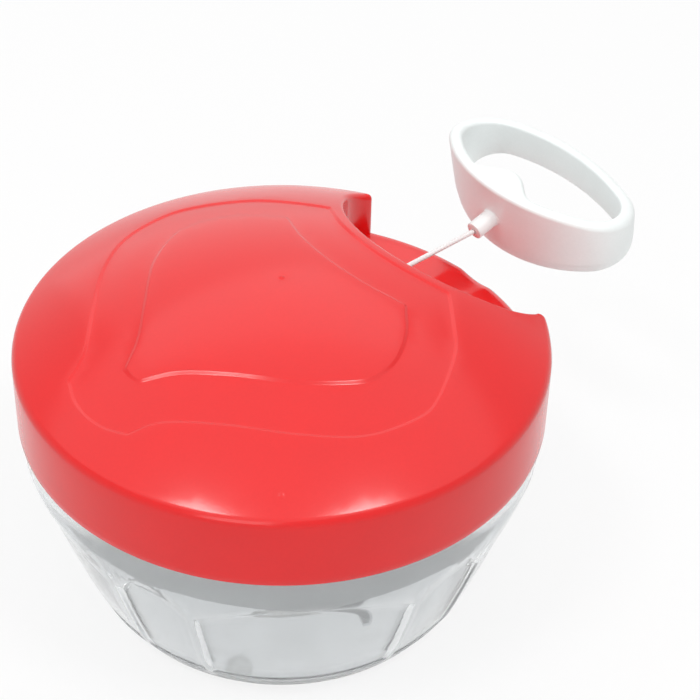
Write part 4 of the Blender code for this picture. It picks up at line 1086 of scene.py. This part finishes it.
class CHOPPER_OT_bowl(bpy.types.Operator):
    """Make the clear bowl with its pressed panels"""
    bl_idname = "chopper.bowl"
    bl_label = "Bowl"

    def execute(self, context):
        look = context.scene.chopper_bowl
        columns = bowl_columns()

        def level(radius, height):
            return [polar(radius, angle, height) for angle, _, _ in columns]

        top = BOWL_TOP
        foot = arc((look.foot_radius - FOOT_ROUND, FOOT_ROUND), FOOT_ROUND, -pi / 2, 0, 4)
        rings = [[Vector((0, 0, 0))]]
        for radius, height in foot:
            rings.append(level(radius + bowl_radius(height, look) - look.foot_radius, height))
        rings += [panel_ring(columns, share, pressed, look) for share, pressed in PANEL_STEPS]
        outer, inner = look.rim_radius, look.rim_radius - look.wall
        ledge, widest = SKIRT_BOTTOM - LEDGE_GAP, bowl_radius(SKIRT_BOTTOM, look)
        middle = (ledge + top) / 2
        rings += [level(widest, FLARE_HEIGHT),
                  level(widest - LEDGE_DRAFT / 3, (FLARE_HEIGHT + ledge) / 2)]
        bend = (widest - LEDGE_DRAFT - LEDGE_ROUND, ledge - LEDGE_ROUND)
        rings += [level(*place) for place in arc(bend, LEDGE_ROUND, 0, pi / 2, 4)]
        rings += [level(outer, ledge), level(outer, middle)]
        rings += [level(*place) for place in arc((outer - RIM_ROUND, top - RIM_ROUND), RIM_ROUND,
                                                 0, pi / 2, 4)]
        rings += [level(*place) for place in arc((inner + RIM_ROUND, top - RIM_ROUND), RIM_ROUND,
                                                 pi / 2, pi, 4)]
        rings.append(level(inner, middle))
        corner = look.floor + FLOOR_FILLET
        for step in range(WALL_STEPS):
            height = FLARE_HEIGHT - (FLARE_HEIGHT - corner) * step / WALL_STEPS
            rings.append(level(min(bowl_radius(height, look) - look.wall, inner), height))
        side = bowl_radius(corner, look) - look.wall
        for radius, height in arc((side - FLOOR_FILLET, corner), FLOOR_FILLET, 0, -pi / 2, 6):
            rings.append(level(radius, height))
        rings.append([Vector((0, 0, look.floor))])
        bowl = looped("clear_bowl", rings)
        boss_top = PIN_BOSS_HEIGHT
        root = PIN_BOSS_RADIUS
        soft = PIN_BOSS_FILLET
        profile = [(0, look.floor - GAP), (root + soft, look.floor - GAP),
                   (root + soft, look.floor)]
        profile += arc((root + soft, look.floor + soft), soft, -pi / 2, -pi, 4)
        profile += [(root, boss_top - soft / 2), (root - soft / 2, boss_top), (0, boss_top)]
        seat = bar("pin_seat", PIN_RADIUS + GAP, boss_top - PIN_SEAT_DEPTH, boss_top + OVERRUN,
                   HOLE_SIDES, HALF_SIDE)
        boss = turned("pin_boss", profile, MIDDLE_SIDES)
        tools = [(boss, "UNION"), (seat, "DIFFERENCE")]
        for number in (1, 2, 3):
            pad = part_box(f"foot_pad_{number}")
            tools.append((post(f"pad_seat_{number}", pad, (pad[1].x - pad[0].x) / 2 + GAP, -OVERRUN,
                               PAD_SEAT_HEIGHT, SEAT_SIDES), "DIFFERENCE"))
        shaped(bowl, tools)
        plastic = clear_plastic("bowl plastic", look.colour)
        dress(bowl, plastic, "bowl", ["bowl"])
        return {"FINISHED"}


# Inner cover and seal


class CHOPPER_OT_cover(bpy.types.Operator):
    """Make the inner cover and its seal"""
    bl_idname = "chopper.cover"
    bl_label = "Inner cover and seal"

    def execute(self, context):
        look = context.scene.chopper_inner
        outer, inner = COVER_RADIUS, COVER_RADIUS - COVER_WALL
        low, edge = COVER_LOW.z, COVER_EDGE
        top, flange = COVER_HIGH.z, COVER_HIGH.x
        under = BOWL_TOP + GAP
        profile = [(COLLAR_RADIUS, PLATE_BOTTOM), (inner - edge, PLATE_BOTTOM),
                   (inner, PLATE_BOTTOM - edge), (inner, low + edge), (inner + edge, low),
                   (outer - edge, low), (outer, low + edge), (outer, SEAL_LOW.z - GAP),
                   (SEAL_GROOVE_RADIUS, SEAL_LOW.z - GAP), (SEAL_GROOVE_RADIUS, SEAL_HIGH.z + GAP),
                   (outer, SEAL_HIGH.z + GAP), (outer, under - edge), (outer + edge, under),
                   (flange - edge, under), (flange, under + edge), (flange, top), (inner, top),
                   (inner, PLATE_TOP), (COLLAR_RADIUS + COLLAR_WALL, PLATE_TOP),
                   (COLLAR_RADIUS + COLLAR_WALL, COLLAR_TOP), (COLLAR_RADIUS, COLLAR_TOP)]
        cover = turned("lid_plate", profile, COVER_SIDES)
        holes = [post(f"plate_hole_{number}", box, SCREW_HOLE_RADIUS, PLATE_BOTTOM - OVERRUN,
                      PLATE_TOP + OVERRUN) for number, box in enumerate(SCREW_BOXES, 1)]
        shaped(cover, [(hole, "DIFFERENCE") for hole in holes])
        plastic = moulded_plastic("cover plastic", look.cover, roughness=0.5, grain=0.05)
        dress(cover, plastic, "lid", ["inner_cover"])
        crest = SEAL_HIGH.x
        base = SEAL_GROOVE_RADIUS + GAP
        middle, half = (SEAL_LOW.z + SEAL_HIGH.z) / 2, (SEAL_HIGH.z - SEAL_LOW.z) / 2
        bulge = [(outer + (crest - outer) * cos(t) ** 2, middle + half * sin(t))
                 for t in (-pi / 2, -pi / 3, -pi / 6, 0, pi / 6, pi / 3, pi / 2)]
        profile = [(base, SEAL_LOW.z)] + bulge + [(base, SEAL_HIGH.z)]
        seal = turned("seal", profile, COVER_SIDES)
        silicone = soft_rubber("seal silicone", SEAL_TINT)
        dress(seal, silicone, "lid", ["seal_ring"])
        return {"FINISHED"}


# Blades


def blade_line(reach, share):
    """Place and width of a blade at a share of its length."""
    start = SHAFT_RADIUS + GAP
    swell = (BLADE_WIDTH - BLADE_ROOT_WIDTH) * sin(pi * share ** BLADE_BELLY)
    width = BLADE_ROOT_WIDTH + (BLADE_TIP_WIDTH - BLADE_ROOT_WIDTH) * share + swell
    return start + (reach - start) * share, -BLADE_SWEEP * share ** 2, width


def ground_blade(name, reach, low):
    """A swept blade whose leading edge is ground to an edge on its upper side."""
    under, over = [], []
    root = BLADE_ROOT_WIDTH / 2
    for outline, cut in ((under, 0), (over, 1)):
        outline += [(BLADE_ROOT_RADIUS, -root), (BLADE_ROOT_RADIUS, root)]
        leading, trailing = [], []
        for step in range(BLADE_STEPS + 1):
            share = step / BLADE_STEPS
            x, middle, width = blade_line(reach, share)
            ground = BLADE_GRIND * cut * min(1, share * BLADE_GRIND_RATE)
            ground *= min(1, width / BLADE_WIDTH + BLADE_GRIND_SHARE)
            leading.append((x, middle + width / 2 - ground))
            trailing.append((x, middle - width / 2))
        tip = (reach + BLADE_TIP_WIDTH / 4, -BLADE_SWEEP - BLADE_GRIND * cut / 4)
        outline += leading + [tip] + trailing[::-1]
    skin = Skin()
    lower = [Vector((x, y, low)) for x, y in under]
    brim = [Vector((x, y, low + BLADE_THICKNESS * BLADE_BRIM)) for x, y in under]
    upper = [Vector((x, y, low + BLADE_THICKNESS)) for x, y in over]
    skin.rows([lower, brim, upper])
    skin.cap(lower)
    skin.cap(upper)
    return skin.made(name)


class CHOPPER_OT_blades(bpy.types.Operator):
    """Make the blades and the column that holds them"""
    bl_idname = "chopper.blades"
    bl_label = "Blades and shaft"

    def execute(self, context):
        look = context.scene.chopper_inner
        steel = worked_steel("blade steel", look.steel, roughness=0.28, stretch=(1, 0.06, 1))
        for number, height in enumerate(BLADE_HEIGHTS):
            blade = ground_blade(f"ground_blade_{number + 1}", BLADE_REACHES[number],
                                 height - BLADE_THICKNESS / 2)
            blade.data.transform(Matrix.Rotation(BLADE_ANGLES[number], 4, "Z"))
            dress(blade, steel, "blades", [f"blade_{number + 1}"])
        low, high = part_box("blade_shaft")
        bore = PIN_RADIUS + GAP
        shoulder = HUB_BOTTOM - SHAFT_SHOULDER_DROP
        base = low.z + SHAFT_BASE
        edge = SHAFT_EDGE
        profile = [(0, SHAFT_BORE_TOP), (bore, SHAFT_BORE_TOP), (bore, low.z),
                   (SHAFT_BASE_RADIUS - edge, low.z), (SHAFT_BASE_RADIUS, low.z + edge),
                   (SHAFT_BASE_RADIUS, base - edge), (SHAFT_BASE_RADIUS - edge, base)]
        reach = SHAFT_BASE_RADIUS - edge - SHAFT_RADIUS
        profile += [(SHAFT_RADIUS + reach * (1 - sin(t)), base + SHAFT_BASE_SLOPE * (1 - cos(t)))
                    for t in (pi / 8, pi / 4, 3 * pi / 8, pi / 2)]
        profile += [(SHAFT_RADIUS, shoulder - edge), (SHAFT_RADIUS - edge, shoulder), (0, shoulder)]
        shaft = turned("blade_column", profile, SHAFT_SIDES)
        corner = SPIGOT_FLATS / 2 / cos(pi / 6)
        flats = [(corner * cos(a), corner * sin(a))
                 for a in (0, pi / 3, 2 * pi / 3, pi, 4 * pi / 3, 5 * pi / 3)]
        tools = [(prism("spigot", flats, shoulder - GAP, high.z), "UNION")]
        for number, height in enumerate(BLADE_HEIGHTS):
            half = BLADE_ROOT_WIDTH / 2 + GAP
            rise = BLADE_THICKNESS / 2 + GAP
            near, far = BLADE_ROOT_RADIUS - GAP, SHAFT_RADIUS + OVERRUN
            slot = prism(f"slot_{number + 1}", [(near, -half), (far, -half), (far, half),
                                                (near, half)], height - rise, height + rise)
            slot.rotation_euler.z = BLADE_ANGLES[number]
            tools.append((slot, "DIFFERENCE"))
        shaped(shaft, tools)
        plastic = moulded_plastic("shaft plastic", look.shaft, roughness=0.36, grain=0.03)
        dress(shaft, plastic, "blades", ["blade_shaft"])
        return {"FINISHED"}


# Handle


def lens(inset):
    """The handle's outline in plan, set in by a distance, from the middle of its near side."""
    near_radius, far_radius = HANDLE_NEAR_RADIUS - inset, HANDLE_FAR_RADIUS - inset
    end_radius = HANDLE_END_RADIUS - inset
    near_centre = HANDLE_NEAR_RADIUS
    far_centre = HANDLE_DEPTH - HANDLE_FAR_RADIUS
    near, far = near_radius - end_radius, far_radius - end_radius
    apart = near_centre - far_centre
    x = far_centre + (apart ** 2 + far ** 2 - near ** 2) / (2 * apart)
    y = sqrt(far ** 2 - (x - far_centre) ** 2)
    from_near = atan2(y, x - near_centre)
    from_far = atan2(y, x - far_centre)
    half = arc((near_centre, 0), near_radius, pi, from_near, 36)
    half += arc((x, y), end_radius, from_near, from_far, 16)[1:]
    half += arc((far_centre, 0), far_radius, from_far, 0, 20)[1:]
    return half + [(px, -py) for px, py in half[-2:0:-1]]


def handle_loop(inset, bump):
    """The outline with the swelling between the fingers, behind the boss."""
    loop = []
    for x, y in lens(inset):
        if x < HANDLE_DEPTH / 2 and abs(y) < HANDLE_BUMP_WIDTH / 2:
            x += bump * cos(pi * y / HANDLE_BUMP_WIDTH) ** 2
        loop.append((x + BOSS_LENGTH, y))
    return loop


def handle_top(x, y):
    """Height of the handle's top over the cord, which carries on the lid's dome."""
    return dome(DOCKED_TIP_X + x, y) - CORD_HEIGHT


def handle_rings(look):
    """The ring's skin: up its outside, over its rounded top and down its inside."""
    low = -HANDLE_BELOW_CORD
    soft, edge, wall = HANDLE_FOOT_ROUND, look.edge, look.wall
    rows = []
    for step in range(4):
        turn = pi / 2 * step / 3
        rows.append((HANDLE_DRAFT + soft * (1 - sin(turn)), 0, low + soft * (1 - cos(turn)), None))
    seam = low + PARTING_HEIGHT
    rows.append((PARTING_INSET, 0, seam, None))
    rows.append((PARTING_INSET - PARTING_STEP, 0, seam + PARTING_STEP, None))
    for step in range(6):
        turn = pi / 2 * step / 5
        rows.append((edge * (1 - cos(turn)), 0, None, edge * (sin(turn) - 1)))
    for step in range(6):
        turn = pi / 2 * step / 5
        rows.append((wall - edge * (1 - sin(turn)), 1, None, edge * (cos(turn) - 1)))
    for step in range(4):
        turn = pi / 2 * step / 3
        rows.append((wall - soft * (1 - cos(turn)), 1, low + soft * (1 - sin(turn)), None))
    rings = []
    for inset, swell, level, over in rows:
        loop = handle_loop(inset, HANDLE_BUMP * swell)
        if level is None:
            rings.append([Vector((x, y, handle_top(x, y) + over)) for x, y in loop])
        else:
            rings.append([Vector((x, y, level)) for x, y in loop])
    return rings


class CHOPPER_OT_handle(bpy.types.Operator):
    """Make the white ring handle with the boss that the cord goes into"""
    bl_idname = "chopper.handle"
    bl_label = "Handle"

    def execute(self, context):
        look = context.scene.chopper_handle
        handle = looped("ring_handle", handle_rings(look))
        tip, soft = BOSS_TIP_ROUND, BOSS_FILLET
        profile = [(0, 0), (BOSS_RADIUS - tip, 0),
                   (BOSS_RADIUS - tip * CORNER_SHARE, tip * CORNER_SHARE), (BOSS_RADIUS, tip)]
        root = BOSS_LENGTH + BOSS_FILLET_SINK
        profile += [(BOSS_RADIUS + soft * (1 - cos(t)), root + soft * (sin(t) - 1))
                    for t in (0, pi / 8, pi / 4, 3 * pi / 8, pi / 2)]
        profile += [(BOSS_RADIUS + soft, BOSS_LENGTH + look.wall / 2),
                    (0, BOSS_LENGTH + look.wall / 2)]
        boss = turned("boss", profile, MIDDLE_SIDES)
        boss.rotation_euler.y = pi / 2
        knot = BOSS_LENGTH + (look.wall + HANDLE_BUMP) / 2
        bore = bar("bore", BOSS_BORE_RADIUS, -OVERRUN, knot, HOLE_SIDES, HALF_SIDE)
        bore.rotation_euler.y = pi / 2
        room = bar("room", KNOT_RADIUS + KNOT_ROOM, -HANDLE_BELOW_CORD - OVERRUN,
                   KNOT_RADIUS + KNOT_ROOM, SEAT_SIDES)
        room.location.x = knot
        shaped(handle, [(boss, "UNION"), (bore, "DIFFERENCE"), (room, "DIFFERENCE")])
        tilt = Matrix.Rotation(HANDLE_TILT, 4, HANDLE_TILT_AXIS)
        handle.data.transform(Matrix.Translation(HANDLE_TIP) @ tilt)
        plastic = moulded_plastic("handle plastic", look.colour, roughness=0.36, grain=0.02)
        dress(handle, plastic, "handle", ["pull_handle"])
        return {"FINISHED"}


# Cord


def cord_route(radius):
    """The cord's middle line: off the winding, round behind the eyelet and out to the handle."""
    reel_radius = WINDING_RADIUS + GAP + radius
    corner_x = POCKET_BACK - POCKET_WALL - EYELET_TAIL - radius
    leave = acos(reel_radius / corner_x)
    turn = pi / 2 - leave
    cut = CORD_BEND_RADIUS * tan(turn / 2)
    start = polar(reel_radius, -leave)
    corner = Vector((corner_x, 0, 0))
    back = (start - corner).normalized()
    bend_start = corner + back * cut
    centre = Vector((corner_x + cut, -CORD_BEND_RADIUS, 0))
    points = [start.lerp(bend_start, step / 4) for step in range(4)]
    points += [centre + polar(CORD_BEND_RADIUS, pi / 2 + turn * (1 - step / 6))
               for step in range(7)]
    end = HANDLE_TIP - CORD_DIRECTION * GAP
    first = points[-1]
    count = round((end.x - first.x) / CORD_RING_STEP)
    points += [Vector((first.x + (end.x - first.x) * step / count, 0, 0))
               for step in range(1, count + 1)]
    rise = tan(CORD_RISE_ANGLE)
    return [Vector((p.x, p.y, CORD_HEIGHT + (p.x - DOCKED_TIP_X) * rise)) for p in points]


class CHOPPER_OT_cord(bpy.types.Operator):
    """Make the taut cord between the reel and the handle"""
    bl_idname = "chopper.cord"
    bl_label = "Cord"

    def execute(self, context):
        look = context.scene.chopper_cord
        radius = look.diameter / 2
        route = cord_route(radius)
        rings = []
        for index, place in enumerate(route):
            before, after = route[max(0, index - 1)], route[min(len(route) - 1, index + 1)]
            along = (after - before).normalized()
            side = along.cross(Vector((0, 0, 1))).normalized()
            up = side.cross(along)
            turns = [2 * pi * step / CORD_SIDES for step in range(CORD_SIDES)]
            rings.append([place + radius * (cos(a) * side + sin(a) * up) for a in turns])
        skin = Skin()
        skin.rows(rings)
        skin.cap(rings[0])
        skin.cap(rings[-1])
        cord = skin.made("taut_cord")
        dress(cord, braided_yarn("cord yarn", look.colour), None, ["pull_cord"])
        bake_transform(cord)
        return {"FINISHED"}


# Pieces that keep their CAD shapes


class CHOPPER_OT_hardware(bpy.types.Operator):
    """Give the pieces that keep their CAD shapes their finishes"""
    bl_idname = "chopper.hardware"
    bl_label = "Hidden pieces and fixings"

    def execute(self, context):
        look = context.scene.chopper_cord
        zinc = worked_steel("zinc-coated steel", ZINC_TINT, roughness=0.38, stretch=(1, 1, 0.1))
        spring = worked_steel("spring steel", SPRING_TINT, roughness=0.34, stretch=(1, 1, 0.05))
        natural = moulded_plastic("uncoloured plastic", NATURAL_TINT, roughness=0.5, grain=0.04)
        white = moulded_plastic("white plastic", WHITE_TINT, roughness=0.4, grain=0.03)
        yarn = braided_yarn("wound yarn", look.colour)
        rubber = soft_rubber("pad rubber", PAD_TINT, PAD_CLEARNESS)
        finishes = {
            zinc: ["bowl_pin", "axle_bolt", "axle_washer", "cord_eyelet"]
            + [f"cover_screw_{number}" for number in (1, 2, 3, 4)],
            spring: ["recoil_spring", "hub_clip"],
            natural: ["cord_reel", "spring_cap"],
            white: ["drive_hub", "pawl_1", "pawl_2", "pawl_3"],
            rubber: ["foot_pad_1", "foot_pad_2", "foot_pad_3"],
            yarn: ["cord_winding", "cord_knot"],
        }
        for material, nodes in finishes.items():
            for name in nodes:
                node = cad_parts[name]
                node.data.materials.clear()
                node.data.materials.append(material)
        return {"FINISHED"}


# Stage


def soft_light(name, place, size, power):
    """A soft light of a width and a height that faces the object."""
    lamp = bpy.data.lights.new(name, "AREA")
    lamp.shape = "RECTANGLE"
    lamp.size, lamp.size_y = size
    lamp.energy = power
    obj = bpy.data.objects.new(name, lamp)
    obj.location = place
    obj.rotation_euler = (Vector(CAMERA_AIM) - Vector(place)).to_track_quat("-Z", "Y").to_euler()
    bpy.context.scene.collection.objects.link(obj)


def seen_by_eye(wire):
    """1 where the camera looks, straight or by a reflection or through something clear."""
    path = wire.node("ShaderNodeLightPath").socket.node.outputs
    seen = Wire(wire.tree, path["Is Camera Ray"])
    for label in ("Is Glossy Ray", "Is Transmission Ray"):
        seen = wire.maths("MAXIMUM", seen, Wire(wire.tree, path[label]))
    return seen


def pale_floor(look):
    """A floor that is white where the camera and the clear bowl see it, and keeps its shadow."""
    floor = bpy.data.materials.new("floor")
    floor.use_nodes = True
    tree = floor.node_tree
    tree.nodes.clear()
    wire = Wire(tree)
    speck = wire.noise(6, detail=2)
    tone = wire.mix(speck, shifted(look.floor, 0.99), look.floor)
    diffuse = wire.node("ShaderNodeBsdfDiffuse", None, {"Color": tone})
    glow = wire.node("ShaderNodeEmission", None, {"Color": (1, 1, 1), "Strength": 1.0})
    seen = seen_by_eye(wire)
    away = wire.node("ShaderNodeVectorMath", {"operation": "LENGTH"}, {"Vector": wire.place()}, 1)
    fade = away.between(FLOOR_FADE_START, FLOOR_FADE_END) * (1 - FLOOR_GLOW) + FLOOR_GLOW
    both = wire.node("ShaderNodeMixShader", None, {0: seen * fade, 1: diffuse, 2: glow})
    wire.node("ShaderNodeOutputMaterial", None, {"Surface": both})
    return floor


def white_sky(strength):
    """Even light all round, plain white where the camera, gloss or the clear bowl shows it."""
    world = bpy.data.worlds.new("surroundings")
    world.use_nodes = True
    tree = world.node_tree
    tree.nodes.clear()
    wire = Wire(tree)
    seen = seen_by_eye(wire)
    sky = wire.node("ShaderNodeBackground", None,
                    {"Color": (1, 1, 1), "Strength": seen * (1 - strength) + strength})
    wire.node("ShaderNodeOutputWorld", None, {"Surface": sky})
    bpy.context.scene.world = world


class CHOPPER_OT_stage(bpy.types.Operator):
    """Make the camera, the floor and the lights"""
    bl_idname = "chopper.stage"
    bl_label = "Camera, floor and light"

    def execute(self, context):
        look = context.scene.chopper_stage
        scene = context.scene
        camera = bpy.data.objects.new("camera", bpy.data.cameras.new("camera"))
        scene.collection.objects.link(camera)
        camera.location = CAMERA_PLACE
        aim = Vector(CAMERA_AIM) - Vector(CAMERA_PLACE)
        camera.rotation_euler = aim.to_track_quat("-Z", "Y").to_euler()
        camera.data.lens = CAMERA_LENS
        camera.data.sensor_width = CAMERA_SENSOR
        camera.data.shift_x = CAMERA_SHIFT
        scene.camera = camera
        scene.view_settings.view_transform = "Standard"
        level = CAD_BOX[0].z
        skin = Skin()
        corners = ((-1, -1), (1, -1), (1, 1), (-1, 1))
        skin.cap([Vector((x * FLOOR_REACH, y * FLOOR_REACH, level)) for x, y in corners])
        floor = skin.made("floor", closed=False)
        floor.data.materials.append(pale_floor(look))
        white_sky(look.sky)
        for side, place in KEY_PLACES.items():
            soft_light(f"key_light_{side}", place, KEY_SIZE, look.key / 2)
        soft_light("fill_light", FILL_PLACE, FILL_SIZE, look.fill)
        soft_light("overhead_light", OVERHEAD_PLACE, OVERHEAD_SIZE, look.overhead)
        soft_light("far_light", FAR_PLACE, FAR_SIZE, look.far)
        return {"FINISHED"}


# Panel and running


class CHOPPER_PT_panel(bpy.types.Panel):
    """The chopper's settings and steps"""
    bl_idname = "CHOPPER_PT_panel"
    bl_label = "Food chopper"
    bl_space_type = "VIEW_3D"
    bl_region_type = "UI"
    bl_category = "Chopper"

    def draw(self, context):
        for operator, settings in STEPS:
            box = self.layout.box()
            box.operator(operator.bl_idname)
            look = getattr(context.scene, settings)
            for name in look.__annotations__:
                box.prop(look, name)


STEPS = (
    (CHOPPER_OT_stage, "chopper_stage"),
    (CHOPPER_OT_cord, "chopper_cord"),
    (CHOPPER_OT_lid, "chopper_lid"),
    (CHOPPER_OT_bowl, "chopper_bowl"),
    (CHOPPER_OT_cover, "chopper_inner"),
    (CHOPPER_OT_blades, "chopper_inner"),
    (CHOPPER_OT_handle, "chopper_handle"),
    (CHOPPER_OT_hardware, "chopper_cord"),
)
GROUPS = {
    "chopper_stage": StageLook,
    "chopper_cord": CordLook,
    "chopper_lid": LidLook,
    "chopper_bowl": BowlLook,
    "chopper_inner": InnerLook,
    "chopper_handle": HandleLook,
}


def register():
    """Register the settings, steps and panel."""
    for name, group in GROUPS.items():
        bpy.utils.register_class(group)
        setattr(bpy.types.Scene, name, PointerProperty(type=group))
    for operator, _ in STEPS:
        bpy.utils.register_class(operator)
    bpy.utils.register_class(CHOPPER_PT_panel)


def unregister():
    """Take the settings, steps and panel away again."""
    bpy.utils.unregister_class(CHOPPER_PT_panel)
    for operator, _ in reversed(STEPS):
        bpy.utils.unregister_class(operator)
    for name, group in GROUPS.items():
        delattr(bpy.types.Scene, name)
        bpy.utils.unregister_class(group)


def main():
    """Make everything in order."""
    register()
    bpy.ops.chopper.stage()
    bpy.ops.chopper.cord()
    bpy.ops.chopper.lid()
    bpy.ops.chopper.bowl()
    bpy.ops.chopper.cover()
    bpy.ops.chopper.blades()
    bpy.ops.chopper.handle()
    bpy.ops.chopper.hardware()


if __name__ == "__main__":
    main()
